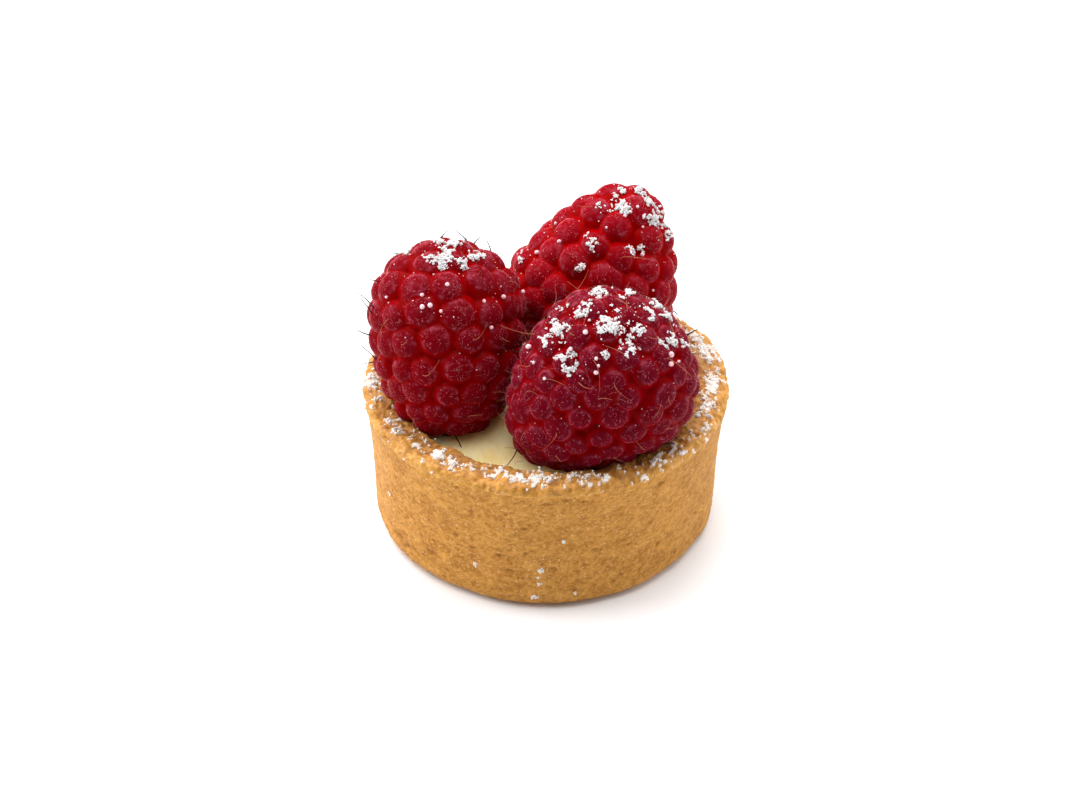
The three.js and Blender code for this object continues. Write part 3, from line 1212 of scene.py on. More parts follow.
    @cached_property
    def skin(self) -> Surface:
        """Raises a grid on the core along its normals to the balls, their creases rounded.

        Returns:
            The skin in the tart's axes, with the inward, tone and painted-highlight values its finish reads.
        """
        angle, _, _, walked = self.walk()
        distance = np.linspace(walked[-1], 0.0, self.rings + 2)[1:-1]
        row_angle = np.interp(distance, walked, angle)
        radius, height = self.profile(self.proud, row_angle)
        around = 2.0 * np.pi * np.arange(self.columns) / self.columns
        core = np.stack(
            [
                radius[:, None] * np.cos(around),
                self.oval * radius[:, None] * np.sin(around),
                np.repeat(height[:, None], self.columns, axis=1),
            ],
            axis=-1,
        )
        first = np.array([0.0, 0.0, -(self.base - self.proud)])
        last = np.array([0.0, 0.0, self.tip - self.proud])
        surface = closed_grid(core, first, last)
        seats, middles, balls = self.drupelets()
        rise, cap, lead, owner = self.rise(surface.points, seats, middles, balls)
        normals = self.core_normals(surface.points)
        tone = np.random.default_rng(self.seed).random(len(seats))
        skin = surface.points + normals * rise[:, None]
        surface.points = self.to_tart(skin)
        # Painted highlight: the upward faces are marked to be painted paler, as if lit from above.
        top_highlight = smoothstep(*self.top_highlight_climb, surface.normals()[:, 2])
        inward = np.minimum(cap, lead).clip(0.0, 1.0) / self.frost_edge
        surface.values = {"inward": inward, "top_highlight": top_highlight, "tone": tone[owner]}
        return surface

    def rise(
        self, points: Array, seats: Array, middles: Array, balls: Array
    ) -> tuple[Array, Array, Array, Array]:
        """Works out how far the skin stands off the core, along the core's normals.

        Args:
            points: places on the core.
            seats: the balls' seats on the core.
            middles: their middles.
            balls: their radii.

        Returns:
            The rise in millimetres; the cap share, 1 over a ball's middle and 0 a half pitch from it; how
            far the ball stands above its nearest rival; and the index of the ball that each place belongs to.
        """
        normals = self.core_normals(points)
        offset = points[:, None] - middles[None]
        along = np.einsum("nmi,ni->nm", offset, normals)
        away = np.einsum("nmi,nmi->nm", offset, offset) - along**2
        share = (away.clip(0.0) / balls**2).clip(0.0, 1.0) ** (self.pillow / 2.0)
        heights = balls * (1.0 - share) ** (1.0 / self.pillow) - along
        heights = np.where(share < 1.0, heights, self.crease_floor)
        heights = np.maximum(heights, self.crease_floor)
        owner = heights.argmax(axis=1)
        top = np.take_along_axis(heights, owner[:, None], axis=1)[:, 0]
        np.put_along_axis(heights, owner[:, None], self.crease_floor, axis=1)
        second = heights.max(axis=1)
        overlap = np.maximum(self.crease_round - (top - second), 0.0)
        rise = top + overlap**2 / (4.0 * self.crease_round)
        from_seat = np.linalg.norm(points - seats[owner], axis=1)
        cap = np.clip(1.0 - from_seat * 2.0 * self.ball_share / balls[owner], 0.0, 1.0)
        return rise, cap, top - second, owner

    def spots(self, ways: tuple[tuple[float, ...], ...]) -> Array:
        """Finds the skin's points that lie nearest to the ways out from the berry's middle.

        Args:
            ways: each a bearing and a climb in degrees, and what else belongs to it.

        Returns:
            The index of one point of the skin for each way.
        """
        out = self.skin.points - np.array(self.place)
        out /= np.linalg.norm(out, axis=1, keepdims=True)
        bearing, climb = np.array(ways)[:, :2].T
        return (towards(bearing, climb) @ out.T).argmax(axis=1)

    def underside(self, x: Array, y: Array, low: float, high: float) -> Array:
        """Finds the height where a column first meets the berry from below, by sampling and then halving.

        Args:
            x: columns' places along X.
            y: columns' places along Y.
            low: a height below the berry.
            high: the greatest height looked at.

        Returns:
            The height of the berry's underside, or infinity where the column misses it.
        """

        def value(z: Array) -> Array:
            """The core's equation in each column at the heights z."""
            points = np.stack(np.broadcast_arrays(x, y, z), axis=-1) - np.array(self.place)
            return self.core_value(points @ self.turn().T, 0.0)

        levels = np.linspace(low, high, self.levels_tried)
        values = np.stack([value(np.full_like(x, level)) for level in levels], axis=0)
        inside = values < 1.0
        meets = inside.any(axis=0)
        first = inside.argmax(axis=0)
        upper = levels[first]
        lower = levels[np.maximum(first - 1, 0)]
        for _ in range(self.halvings):
            middle = (upper + lower) / 2.0
            within = value(middle) < 1.0
            upper = np.where(within, middle, upper)
            lower = np.where(within, lower, middle)
        return np.where(meets, upper, np.inf)

    def distance(self, points: Array) -> Array:
        """About how far points in the tart's axes lie outside the berry, in millimetres."""
        local = (points - np.array(self.place)) @ self.turn().T
        return (np.sqrt(self.core_value(local, 0.0)) - 1.0) * self.radius

    def build(self, material: bpy.types.Material) -> bpy.types.Object:
        """Makes the berry's object, which stands for its frame node.

        Args:
            material: its finish.

        Returns:
            The object.
        """
        piece = self.skin.to_object(self.name, material)
        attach(piece, "root")
        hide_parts(self.node)
        return piece


# ---- the shell

Waves = tuple[tuple[int, float, float], ...]


def wave_sum(waves: Waves, angle: Array) -> Array:
    """The sum of sine waves round the tart, each given as waves in a turn, amplitude and phase."""
    return sum(amplitude * np.sin(turns * angle + phase) for turns, amplitude, phase in waves)


@dataclass(frozen=True)
class Pores:
    """One size of pore: its grid's spacing, the share of cells filled, its greatest half width and a seed."""

    cell: float
    share: float
    widest: float
    seed: int


@dataclass
class Shell:
    """The shortcrust shell: a flared wall with a crumbly rim, sandy grain, pores and dusted sugar.

    dents holds single large pores as angle in degrees, height, half width and depth. dust_spots holds the
    rim's sugar as angle and spread in degrees, strength, and radius, and dust_ring a thin ring all round as
    radius, spread and strength. The noises of the relief rise by their heights in millimetres: sand, fine
    and crumb all over, flattened by grain_shape, and crags, knobs and swells on the rim. Pairs of levels and
    radii are where something starts and where it is whole.
    """

    height: float = 19.4
    waist_radius: float = 22.25
    waist_level: float = 0.4
    rim_flare: float = 0.8
    foot_fillet: float = 1.8
    rim_outer_round: float = 0.9
    rim_inner_round: float = 0.9
    mouth_radius: float = 19.25
    floor_radius: float = 18.5
    floor_thickness: float = 3.0
    floor_fillet: float = 1.5
    wall_waves: Waves = ((2, 0.1, 0.6), (5, 0.07, 2.1), (9, 0.05, 4.4), (17, 0.03, 1.3))
    rim_waves: Waves = ((3, 0.09, 1.1), (7, 0.08, 0.2), (13, 0.07, 3.6), (19, 0.07, 5.2), (29, 0.06, 2.7))
    mouth_waves: Waves = (
        (1, 0.4, 5.32), (2, 0.35, 2.62), (3, 0.25, 0.26), (4, 0.08, 0.4), (9, 0.07, 1.9),
        (16, 0.08, 0.9), (23, 0.07, 4.1),
    )
    uneven_from_level: float = 0.72
    columns: int = 730
    wall_rows: int = 90
    corner_rows: int = 8
    top_rows: int = 14
    hidden_rows: int = 4
    grain_shape: tuple[float, float, float] = (1.0, 1.0, 1.5)
    sand: Noise = Noise(0.55, 3, 5, 0.09)
    fine: Noise = Noise(0.3, 2, 7, 0.03)
    fine_on_rim: float = 0.05
    crumb: Noise = Noise(1.7, 2, 9, 0.08)
    crags: Noise = Noise(1.0, 2, 13, 0.2)
    crag_slope: float = 2.2
    knobs: Noise = Noise(0.45, 2, 15, 0.2)
    swells: Noise = Noise(2.3, 1, 17, 0.22)
    cake: Noise = Noise(0.6, 2, 35, 0.28)
    cake_depth: float = 0.16
    foot_levels: tuple[float, float] = (0.0, 0.8)
    inside_levels: tuple[float, float] = (15.5, 17.0)
    inside_radius: float = 20.6
    wall_radius: float = 21.4
    rim_depths: tuple[float, float] = (1.3, 0.4)
    lip_depth: float = 0.8
    lip_width: float = 0.75
    lip_radii: tuple[float, float] = (21.9, 22.6)
    mouth_radii: tuple[float, float] = (21.6, 20.2)
    crevice_crags: tuple[float, float] = (0.75, 0.1)
    pore_layers: tuple[Pores, ...] = (
        Pores(0.9, 0.5, 0.17, 71), Pores(2.0, 0.35, 0.3, 81), Pores(5.0, 0.4, 0.55, 91),
    )
    pore_depth: float = 0.75
    ragged: Noise = Noise(0.5, 1, 61, 0.5)
    dent_shade: float = 0.75
    dents: tuple[tuple[float, float, float, float], ...] = (
        (-144.0, 3.6, 0.9, 0.30), (-140.0, 3.2, 0.6, 0.28), (-128.6, 4.7, 0.8, 0.32),
        (-119.0, 9.5, 0.5, 0.22), (-96.0, 13.0, 0.45, 0.2), (-101.0, 6.0, 0.6, 0.2),
        (-74.0, 9.0, 0.5, 0.2), (35.0, 6.0, 0.9, 0.3), (80.0, 11.0, 0.8, 0.3), (150.0, 5.0, 0.9, 0.3),
    )
    dust_spots: tuple[tuple[float, float, float, float], ...] = (
        (-175.0, 16.0, 0.62, 21.6), (-150.0, 14.0, 0.62, 21.4), (-126.0, 16.0, 0.68, 21.2),
        (-98.0, 16.0, 0.85, 21.0), (-74.0, 12.0, 0.6, 21.4), (-50.0, 14.0, 0.55, 21.7),
        (-32.0, 9.0, 0.75, 21.8), (-8.0, 17.0, 1.0, 21.0), (18.0, 17.0, 0.9, 21.2),
        (60.0, 35.0, 0.65, 21.2), (120.0, 45.0, 0.65, 21.2),
    )
    dust_width: float = 1.25
    dust_ring: tuple[float, float, float] = (22.0, 0.8, 0.3)
    dust_patches: Noise = Noise(1.1, 3, 31, 0.65)
    dust_edges: Noise = Noise(0.32, 2, 33, 0.6)
    bare_limit: float = 0.46
    limit_fall: float = 0.72
    limit_band: float = 0.14

    def outer_radius(self, height: Array) -> Array:
        """Works out the wall's radius: even up to the waist, then wider by a square law towards the rim.

        Args:
            height: heights above the table.

        Returns:
            The radius at each height.
        """
        level = height / self.height
        up = np.maximum(0.0, (level - self.waist_level) / (1.0 - self.waist_level))
        return self.waist_radius + self.rim_flare * up**2

    def inner_radius(self, height: Array) -> Array:
        """Drafted from the floor up to the mouth."""
        level = (height - self.floor_thickness) / (self.height - self.floor_thickness)
        return self.floor_radius + (self.mouth_radius - self.floor_radius) * level

    def top_waves(self, waves: Waves, height: Array, angle: Array) -> Array:
        """Waves round the top of the shell that fade out down the wall."""
        return smoothstep(self.uneven_from_level, 1.0, height / self.height) * wave_sum(waves, angle)

    def profile(self) -> tuple[Array, Array]:
        """Draws the section from the middle of the base, out, up, over the rim, down and in along the floor.

        Returns:
            The radius and the height of each of its points.
        """
        quarter = np.pi / 2.0
        top = self.height
        foot = self.outer_radius(np.array(0.0)) - self.foot_fillet
        rim_outer = self.outer_radius(np.array(top)) - self.rim_outer_round
        rim_inner = self.inner_radius(np.array(top)) + self.rim_inner_round

        def corner(radius: float, height: float, round_by: float, start: float, end: float) -> Array:
            """A part of a circle round a middle, from one angle to another."""
            angle = np.linspace(start, end, self.corner_rows)
            return np.stack([radius + round_by * np.cos(angle), height + round_by * np.sin(angle)], axis=1)

        wall_heights = np.linspace(self.foot_fillet, top - self.rim_outer_round, self.wall_rows + 2)[1:-1]
        wall = np.stack([self.outer_radius(wall_heights), wall_heights], axis=1)
        base_radii = np.linspace(0.5 * foot, foot, self.hidden_rows)[:-1]
        base = np.stack([base_radii, np.zeros(len(base_radii))], axis=1)
        flat = np.linspace(rim_outer, rim_inner, self.top_rows + 2)[1:-1]
        floor_edge = self.floor_thickness + self.floor_fillet
        inner_heights = np.linspace(top - self.rim_inner_round, floor_edge, self.hidden_rows + 1)[1:]
        inner = np.stack([self.inner_radius(inner_heights), inner_heights], axis=1)
        inner_floor = np.array([[self.floor_radius - self.floor_fillet, self.floor_thickness]])
        section = np.concatenate(
            [
                base,
                corner(foot, self.foot_fillet, self.foot_fillet, -quarter, 0.0),
                wall,
                corner(rim_outer, top - self.rim_outer_round, self.rim_outer_round, 0.0, quarter),
                np.stack([flat, np.full(len(flat), top)], axis=1),
                corner(rim_inner, top - self.rim_inner_round, self.rim_inner_round, quarter, 2.0 * quarter),
                inner,
                inner_floor,
            ]
        )
        return section[:, 0], section[:, 1]

    @cached_property
    def skin(self) -> Surface:
        """Carries the section round, waves it as the pastry is, then roughens and pits it.

        Returns:
            The whole skin, with the values that its finish reads.
        """
        radius, height = self.profile()
        around = 2.0 * np.pi * np.arange(self.columns) / self.columns
        top = np.array(self.height)
        middle_of_wall = (self.inner_radius(top) + self.outer_radius(top)) / 2.0
        outside = (radius > middle_of_wall) | (height < self.floor_thickness / 2.0)
        level = height[:, None]
        shift = np.where(
            outside[:, None],
            wave_sum(self.wall_waves, around)[None],
            self.top_waves(self.mouth_waves, level, around[None]),
        )
        wide = radius[:, None] + shift * np.minimum(1.0, radius[:, None] / middle_of_wall)
        tall = level + self.top_waves(self.rim_waves, level, around[None])
        rows = np.stack([wide * np.cos(around), wide * np.sin(around), tall], axis=-1)
        last = np.array([0.0, 0.0, self.floor_thickness])
        surface = closed_grid(rows, np.zeros(3), last)
        self.roughen(surface)
        return surface

    def roughen(self, surface: Surface) -> None:
        """Adds sand, crumb, pores and caked sugar to the skin, and the values that its finish reads.

        Sand is noise about half a millimetre wide, wider than tall. Crumb is broader, and grows to crags on
        the rim, whose crevices are where a noise crosses zero. Grit sums the noises about a half, painting
        the
        relief into the colour: painted shade on its low spots and painted light on its raised grains, over
        the pastry's own grain. Lip is a bell about a level just below the rim: a painted highlight over
        golden browning. Bake is deepest in the crevices and over the mouth: the rim's own browning, with
        painted shade in the crevices and on the inner edge where the berries shade it. Pore paints shade into
        the pits and dents.

        Args:
            surface: the smooth skin, which is changed.
        """
        points = surface.points
        normals = surface.normals()
        span = np.hypot(points[:, 0], points[:, 1])
        level = points[:, 2]
        hidden = np.where(span > self.inside_radius, self.inside_levels[1], level)
        seen = smoothstep(*self.foot_levels, level) * smoothstep(*self.inside_levels, hidden)
        rim = smoothstep(self.height - self.rim_depths[0], self.height - self.rim_depths[1], level)
        flat = points * np.array(self.grain_shape)
        sand, fine, crumb = self.sand.at(flat), self.fine.at(flat), self.crumb.at(flat)
        crags = 1.0 - self.crag_slope * np.abs(self.crags.at(points))
        lumps = rim * (self.crags.height * crags + self.knobs.raised(points) + self.swells.raised(points))
        pits, pore = self.dent(points)
        for pores in self.pore_layers:
            depth, brown = self.pit(points, pores)
            pits = np.maximum(pits, depth)
            pore = np.maximum(pore, brown)
        dust = self.dust(points, rim, span)
        caked = dust * (self.cake_depth + self.cake.raised(points))
        sandy = self.sand.height * sand + (self.fine.height + self.fine_on_rim * rim) * fine
        sandy = sandy + self.crumb.height * crumb * (1.0 + rim)
        rise = sandy + lumps + caked - pits * (1.0 - rim)
        surface.points = points + normals * (rise * seen)[:, None]
        # Painted highlight: a bright band just below the rim on its outside, over golden browning.
        below_lip = (level - (self.height - self.lip_depth)) / self.lip_width
        lip_highlight = np.exp(-(below_lip**2)) * smoothstep(*self.lip_radii, span)
        # Painted shade: the inner edge, where the berries shade it, and the crevices between the crags, over
        # the rim's own browning.
        inside = smoothstep(*self.mouth_radii, span) * rim
        crevice_shade = rim * smoothstep(*self.crevice_crags, crags)
        surface.values = {
            # Painted shade and light: darker where the relief is low, paler where it is raised.
            "grit_and_shade": np.clip(0.5 + 0.65 * sand + 1.1 * fine + 0.45 * crumb, 0.0, 1.0),
            "lip_highlight": np.clip(lip_highlight * (0.65 + 0.7 * sand + 0.8 * fine), 0.0, 1.0),
            # Painted shade in the crevices and over the mouth, with the rim's own browning.
            "bake_and_shade": np.clip(0.05 * rim + 0.35 * inside + 0.6 * crevice_shade, 0.0, 1.0),
            "glaze": rim * np.clip(0.5 + 0.9 * sand, 0.0, 1.0),
            # Painted shade in the pits and dents, kept off the rim.
            "pore": pore * (1.0 - rim),
            "dust": dust,
        }

    def dent(self, points: Array) -> tuple[Array, Array]:
        """Makes the large single pores of dents: each dips as exp(-d^2), twice as wide as tall.

        Args:
            points: places on the skin.

        Returns:
            The depth of the dents at each place, and how much painted shade darkens it.
        """
        angle = np.degrees(np.arctan2(points[:, 1], points[:, 0]))
        outside = np.hypot(points[:, 0], points[:, 1]) > self.wall_radius
        ragged = 1.0 + self.ragged.raised(points)
        depth = np.zeros(len(points))
        brown = np.zeros(len(points))
        for turn, height, width, deep in self.dents:
            across = np.radians((angle - turn + 180.0) % 360.0 - 180.0) * self.waist_radius / width
            up = (points[:, 2] - height) / (0.5 * width)
            dip = np.exp(-(across**2 + up**2) * ragged) * outside
            depth = np.maximum(depth, deep * dip)
            brown = np.maximum(brown, self.dent_shade * dip)
        return depth, brown

    def pit(self, points: Array, pores: Pores) -> tuple[Array, Array]:
        """Makes oval pores down the wall, at most one in each cell of a grid wrapped round it.

        Each point looks at its own cell and the eight round it. A pore's half width is 0.4 to 1 of the
        widest, and its half height 0.4 to 0.8 of that. Its depth falls off as exp(-d^2), where d is the
        distance from its middle in shares of the two.

        Args:
            points: places on the skin.
            pores: their size, number and seed.

        Returns:
            The depth of the pores at each place, and how much they brown it.
        """
        turns = int(round(2.0 * np.pi * self.waist_radius / pores.cell))
        around = (np.arctan2(points[:, 1], points[:, 0]) / (2.0 * np.pi) + 0.5) * turns
        up = points[:, 2] / pores.cell
        outside = np.hypot(points[:, 0], points[:, 1]) > self.wall_radius
        depth = np.zeros(len(points))
        brown = np.zeros(len(points))
        for step_around, step_up in product((-1, 0, 1), repeat=2):
            across = np.floor(around).astype(np.int64) + step_around
            row = np.floor(up).astype(np.int64) + step_up
            cells = np.stack([across % turns, row, np.zeros_like(row)], axis=-1)
            width = pores.widest * (0.4 + 0.6 * lattice(cells, pores.seed))
            tall = width * (0.4 + 0.4 * lattice(cells, pores.seed + 1))
            from_x = (around - across - lattice(cells, pores.seed + 2)) * pores.cell
            from_z = (up - row - lattice(cells, pores.seed + 3)) * pores.cell
            dip = np.exp(-((from_x / width) ** 2) - (from_z / tall) ** 2)
            dip = dip * outside * (lattice(cells, pores.seed + 4) < pores.share)
            depth = np.maximum(depth, self.pore_depth * width * dip)
            brown = np.maximum(brown, (0.5 + 0.4 * lattice(cells, pores.seed + 5)) * dip)
        return depth, brown

    def dust(self, points: Array, rim: Array, span: Array) -> Array:
        """Works out how thickly sugar powders the skin.

        Each of dust_spots thins out from its middle as exp(-d^2). Sugar lies where noise stands above a
        limit that falls as the spots grow stronger.

        Args:
            points: places on the skin.
            rim: the share of the rim's relief that each has.
            span: their radii.

        Returns:
            The share of each place that is powdered.
        """
        angle = np.degrees(np.arctan2(points[:, 1], points[:, 0]))
        cover = np.zeros(len(points))
        for spot, spread, strength, radius in self.dust_spots:
            turn = (angle - spot + 180.0) % 360.0 - 180.0
            thin = (turn / spread) ** 2 + ((span - radius) / self.dust_width) ** 2
            cover = np.maximum(cover, strength * np.exp(-thin))
        radius, spread, strength = self.dust_ring
        cover = np.maximum(cover, strength * np.exp(-(((span - radius) / spread) ** 2)))
        torn = self.dust_patches.raised(points) + self.dust_edges.raised(points)
        limit = self.bare_limit - self.limit_fall * cover
        return rim * smoothstep(limit, limit + self.limit_band, torn)

    def build(self, material: bpy.types.Material) -> bpy.types.Object:
        """Makes the shell's object, which stands for its frame node.

        Args:
            material: its finish.

        Returns:
            The object.
        """
        piece = self.skin.to_object("crust_shell", material)
        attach(piece, "root")
        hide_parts("crust")
        return piece


# ---- the cream


@dataclass
class CreamFilling:
    """The pastry cream: a low crown that meets the shell, swells a little by each berry and dips below it.

    ripple is the unevenness of its top, drawn out by ripple_shape. search is how far above the floor and
    above the crown each berry's underside is looked for, and bite how far the cream reaches into it.
    """

    shell: Shell
    berries: list[Raspberry]
    edge_level: float = 17.8
    crown_level: float = 18.5
    clearance: float = 0.05
    swell: float = 0.15
    swell_width: float = 0.9
    bite: float = 1.0
    ripple: Noise = Noise(2.4, 2, 41, 0.10)
    ripple_shape: tuple[float, float, float] = (1.0, 0.4, 1.0)
    search: tuple[float, float] = (2.0, 6.0)
    rings: int = 120
    columns: int = 400

    def top(self, x: Array, y: Array) -> Array:
        """Works out the top: a crown that falls by the square of the radius, pressed down by the berries.

        Args:
            x: places along X.
            y: places along Y.

        Returns:
            The height at each place.
        """
        share = np.minimum(1.0, np.hypot(x, y) / self.shell.mouth_radius)
        level = self.crown_level + (self.edge_level - self.crown_level) * share**2
        points = np.stack([x, y, level], axis=-1)
        level = level + self.ripple.raised(points * np.array(self.ripple_shape))
        for berry in self.berries:
            gap = berry.distance(points)
            level = level + self.swell * np.exp(-((np.maximum(gap, 0.0) / self.swell_width) ** 2))
        lowest = self.shell.floor_thickness + self.search[0]
        highest = self.crown_level + self.search[1]
        for berry in self.berries:
            level = np.minimum(level, berry.underside(x, y, lowest, highest) + self.bite)
        return level

    @cached_property
    def skin(self) -> Surface:
        """Closes the filling's base, its side against the shell, and its top in rings to the middle.

        Returns:
            The skin.
        """
        around = 2.0 * np.pi * np.arange(self.columns) / self.columns
        floor = self.shell.floor_thickness + self.clearance
        corner = floor + self.shell.floor_fillet
        halfway = 0.5 * (corner + self.edge_level)
        rows = []
        for height, inset in ((floor, self.shell.floor_fillet), (corner, 0.0), (halfway, 0.0)):
            wide = self.shell.inner_radius(np.array(height)) - inset - self.clearance
            level = np.full(self.columns, height)
            rows.append(np.stack([wide * np.cos(around), wide * np.sin(around), level], axis=-1))
        edge = self.shell.inner_radius(np.array(self.edge_level)) - self.clearance
        edge = edge + self.shell.top_waves(self.shell.mouth_waves, self.edge_level, around)
        for share in np.linspace(1.0, 0.0, self.rings + 1)[:-1]:
            x = edge * share * np.cos(around)
            y = edge * share * np.sin(around)
            rows.append(np.stack([x, y, self.top(x, y)], axis=-1))
        middle = self.top(np.zeros(1), np.zeros(1))[0]
        return closed_grid(np.array(rows), np.array([0.0, 0.0, floor]), np.array([0.0, 0.0, middle]))

    def build(self, material: bpy.types.Material) -> bpy.types.Object:
        """Makes the cream's object, which stands for its frame node.

        Args:
            material: its finish.

        Returns:
            The object.
        """
        piece = self.skin.to_object("cream_fill", material)
        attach(piece, "root")
        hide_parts("cream")
        return piece


# ---- sugar and styles


@dataclass
class SugarOnBerries:
    """Powdered sugar that fell from above: clumps of grains on the berries' upper faces, and loose specks.

    fill is the share of the skin's points below a clump that hold a grain, in each layer. base_limit is the
    cover over which the lowest layer of flakes lies, and layer_limits those of the layers of crumbs on it.
    speck_share is the share of bare points with a speck, which lie where the cover is under bare_limit.
    """

    seed: int = 101
    flake: tuple[float, float] = (0.10, 0.17)
    crumb: tuple[float, float] = (0.04, 0.09)
    flake_flatness: float = 0.45
    crumb_flatness: tuple[float, float] = (0.6, 1.0)
    fill: float = 0.8
    threads: Noise = Noise(1.1, 3, 51, 0.6)
    thread_slope: float = 4.0
    torn: Noise = Noise(0.36, 2, 53, 0.9)
    torn_level: float = 0.18
    reach: float = 1.38
    fullest: float = 0.5
    lowest_slope: float = -0.1
    base_limit: float = 0.5
    layer_limits: tuple[float, ...] = (0.44, 0.54, 0.64)
    speck_share: float = 0.007
    speck_slopes: tuple[float, float] = (0.1, 1.0)
    bare_limit: float = 0.3
    pile_height: float = 0.3
    pile_level: float = 0.38
    seated: float = 0.3
    crumb_lift: float = 0.05
    scatter: float = 0.05

    def cover(self, points: Array, normals: Array, middles: Array, sizes: Array) -> Array:
        """Works out how thickly the sugar lies: each clump fades from its middle, in threads and torn edges.

        The threads are where a noise crosses zero.

        Args:
            points: places on the berries.
            normals: their unit normals.
            middles: the clumps' middles.
            sizes: their half widths.

        Returns:
            The cover at each place.
        """
        threads = 1.0 - self.thread_slope * np.abs(self.threads.at(points))
        torn = self.threads.height * threads + self.torn.raised(points) - self.torn_level
        cover = np.full(len(points), -1.0)
        for middle, size in zip(middles, sizes):
            share = 1.0 - np.linalg.norm(points - middle, axis=1) / (self.reach * size)
            cover = np.maximum(cover, np.minimum(share, self.fullest) + torn)
        return np.where(normals[:, 2] > self.lowest_slope, cover, -1.0)

    def build(self, berries: list[Raspberry], material: bpy.types.Material) -> bpy.types.Object:
        """Makes the clumps as one piece of grains seated on the berries' skins.

        Args:
            berries: the raspberries.
            material: the sugar's finish.

        Returns:
            The object.
        """
        points = np.concatenate([berry.skin.points for berry in berries])
        normals = np.concatenate([berry.skin.normals() for berry in berries])
        middles = [berry.skin.points[berry.spots(berry.clumps)] for berry in berries]
        sizes = np.concatenate([np.array(berry.clumps)[:, 2] for berry in berries])
        draws = np.random.default_rng(self.seed)
        cover = self.cover(points, normals, np.concatenate(middles), sizes)
        likely = self.speck_share * smoothstep(*self.speck_slopes, normals[:, 2])
        scattered = draws.random(len(points)) < likely
        held = draws.random((1 + len(self.layer_limits), len(points))) < self.fill
        base = np.flatnonzero((cover > self.base_limit) & held[0])
        loose = np.flatnonzero(scattered & (cover < self.bare_limit))
        above = [np.flatnonzero((cover > limit) & kept) for limit, kept in zip(self.layer_limits, held[1:])]
        small = np.concatenate([loose, *above])
        chosen = np.concatenate([base, small])
        flakes = draws.uniform(*self.flake, len(base))
        crumbs = draws.uniform(*self.crumb, len(small))
        radii = np.concatenate([flakes, crumbs])
        crumb_flatness = draws.uniform(*self.crumb_flatness, len(small))
        flatness = np.concatenate([np.full(len(base), self.flake_flatness), crumb_flatness])
        thick = np.clip(cover[chosen] - self.pile_level, 0.0, self.fullest)
        pile = self.pile_height * draws.random(len(chosen)) * thick
        lift = self.seated * radii + pile + np.repeat([0.0, self.crumb_lift], [len(base), len(small)])
        centres = points[chosen] + normals[chosen] * lift[:, None]
        centres = centres + draws.normal(0.0, self.scatter, centres.shape)
        surface = grains(centres, radii, flatness, normals[chosen], self.seed)
        piece = surface.to_object("sugar_clumps", material)
        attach(piece, "root")
        return piece


@dataclass
class SugarBeads:
    """Grains of sugar that have drawn juice and rounded into small dull beads.

    seated is the share of its radius that a bead's middle stands above the skin, and stretches how much it
    is drawn out along each axis.
    """

    sizes: tuple[float, float] = (0.17, 0.32)
    seated: float = 0.5
    stretches: tuple[float, float] = (0.85, 1.15)
    seed: int = 151

    def build(self, berries: list[Raspberry], material: bpy.types.Material) -> bpy.types.Object:
        """Makes the beads as one piece: each an icosahedron split once and pushed out to a ball.

        Args:
            berries: the raspberries.
            material: the beads' finish.

        Returns:
            The object.
        """
        points = np.concatenate([berry.skin.points[berry.spots(berry.beads)] for berry in berries])
        normals = np.concatenate([berry.skin.normals()[berry.spots(berry.beads)] for berry in berries])
        draws = np.random.default_rng(self.seed)
        radii = draws.uniform(*self.sizes, len(points))
        centres = points + normals * (self.seated * radii)[:, None]
        ball, faces = split_icosahedron()
        stretch = draws.uniform(*self.stretches, (len(points), 1, 3))
        placed = centres[:, None] + ball[None] * radii[:, None, None] * stretch
        index = faces[None] + len(ball) * np.arange(len(points))[:, None, None]
        surface = Surface(placed.reshape(-1, 3), NO_QUADS, index.reshape(-1, 3))
        piece = surface.to_object("sugar_beads", material)
        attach(piece, "root")
        return piece


@dataclass
class SugarOnRim:
    """Powdered sugar on the shell's rim, in broken patches, with a few specks down the wall.

    fill is the share of the skin's points in a patch that hold a grain, and patch_dust the dust between
    which a patch sets in. specks holds each speck's angle in degrees, height and half width.
    """

    shell: Shell
    specks: tuple[tuple[float, float, float], ...] = (
        (-91.0, 6.4, 0.35), (-91.4, 4.2, 0.32), (-92.8, 1.9, 0.45), (-91.8, 5.3, 0.2),
        (-84.0, 11.0, 0.2), (-80.0, 2.4, 0.22), (-112.0, 5.8, 0.3), (-150.0, 9.0, 0.25),
    )
    speck_edge: tuple[float, float] = (1.3, 0.9)
    wall_radius: float = 21.0
    patch_dust: tuple[float, float] = (0.25, 0.7)
    fill: float = 0.95
    sizes: tuple[float, float] = (0.06, 0.15)
    flatness: tuple[float, float] = (0.5, 1.0)
    seated: float = 0.5
    seed: int = 131

    def build(self, material: bpy.types.Material) -> bpy.types.Object:
        """Makes the rim's sugar as one piece of grains seated on the shell's skin.

        Args:
            material: the sugar's finish.

        Returns:
            The object.
        """
        skin = self.shell.skin
        draws = np.random.default_rng(self.seed)
        share = self.fill * smoothstep(*self.patch_dust, skin.values["dust"])
        angle = np.degrees(np.arctan2(skin.points[:, 1], skin.points[:, 0]))
        outside = np.hypot(skin.points[:, 0], skin.points[:, 1]) > self.wall_radius
        for turn, height, size in self.specks:
            across = np.radians((angle - turn + 180.0) % 360.0 - 180.0) * self.shell.waist_radius
            away = np.hypot(across, skin.points[:, 2] - height) / size
            share = np.maximum(share, outside * smoothstep(*self.speck_edge, away))
        chosen = draws.random(len(skin.points)) < share
        centres = skin.points[chosen]
        normals = skin.normals()[chosen]
        radii = draws.uniform(*self.sizes, len(centres))
        centres = centres + normals * (self.seated * radii)[:, None]
        surface = grains(centres, radii, draws.uniform(*self.flatness, len(centres)), normals, self.seed)
        piece = surface.to_object("sugar_rim", material)
        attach(piece, "root")
        return piece


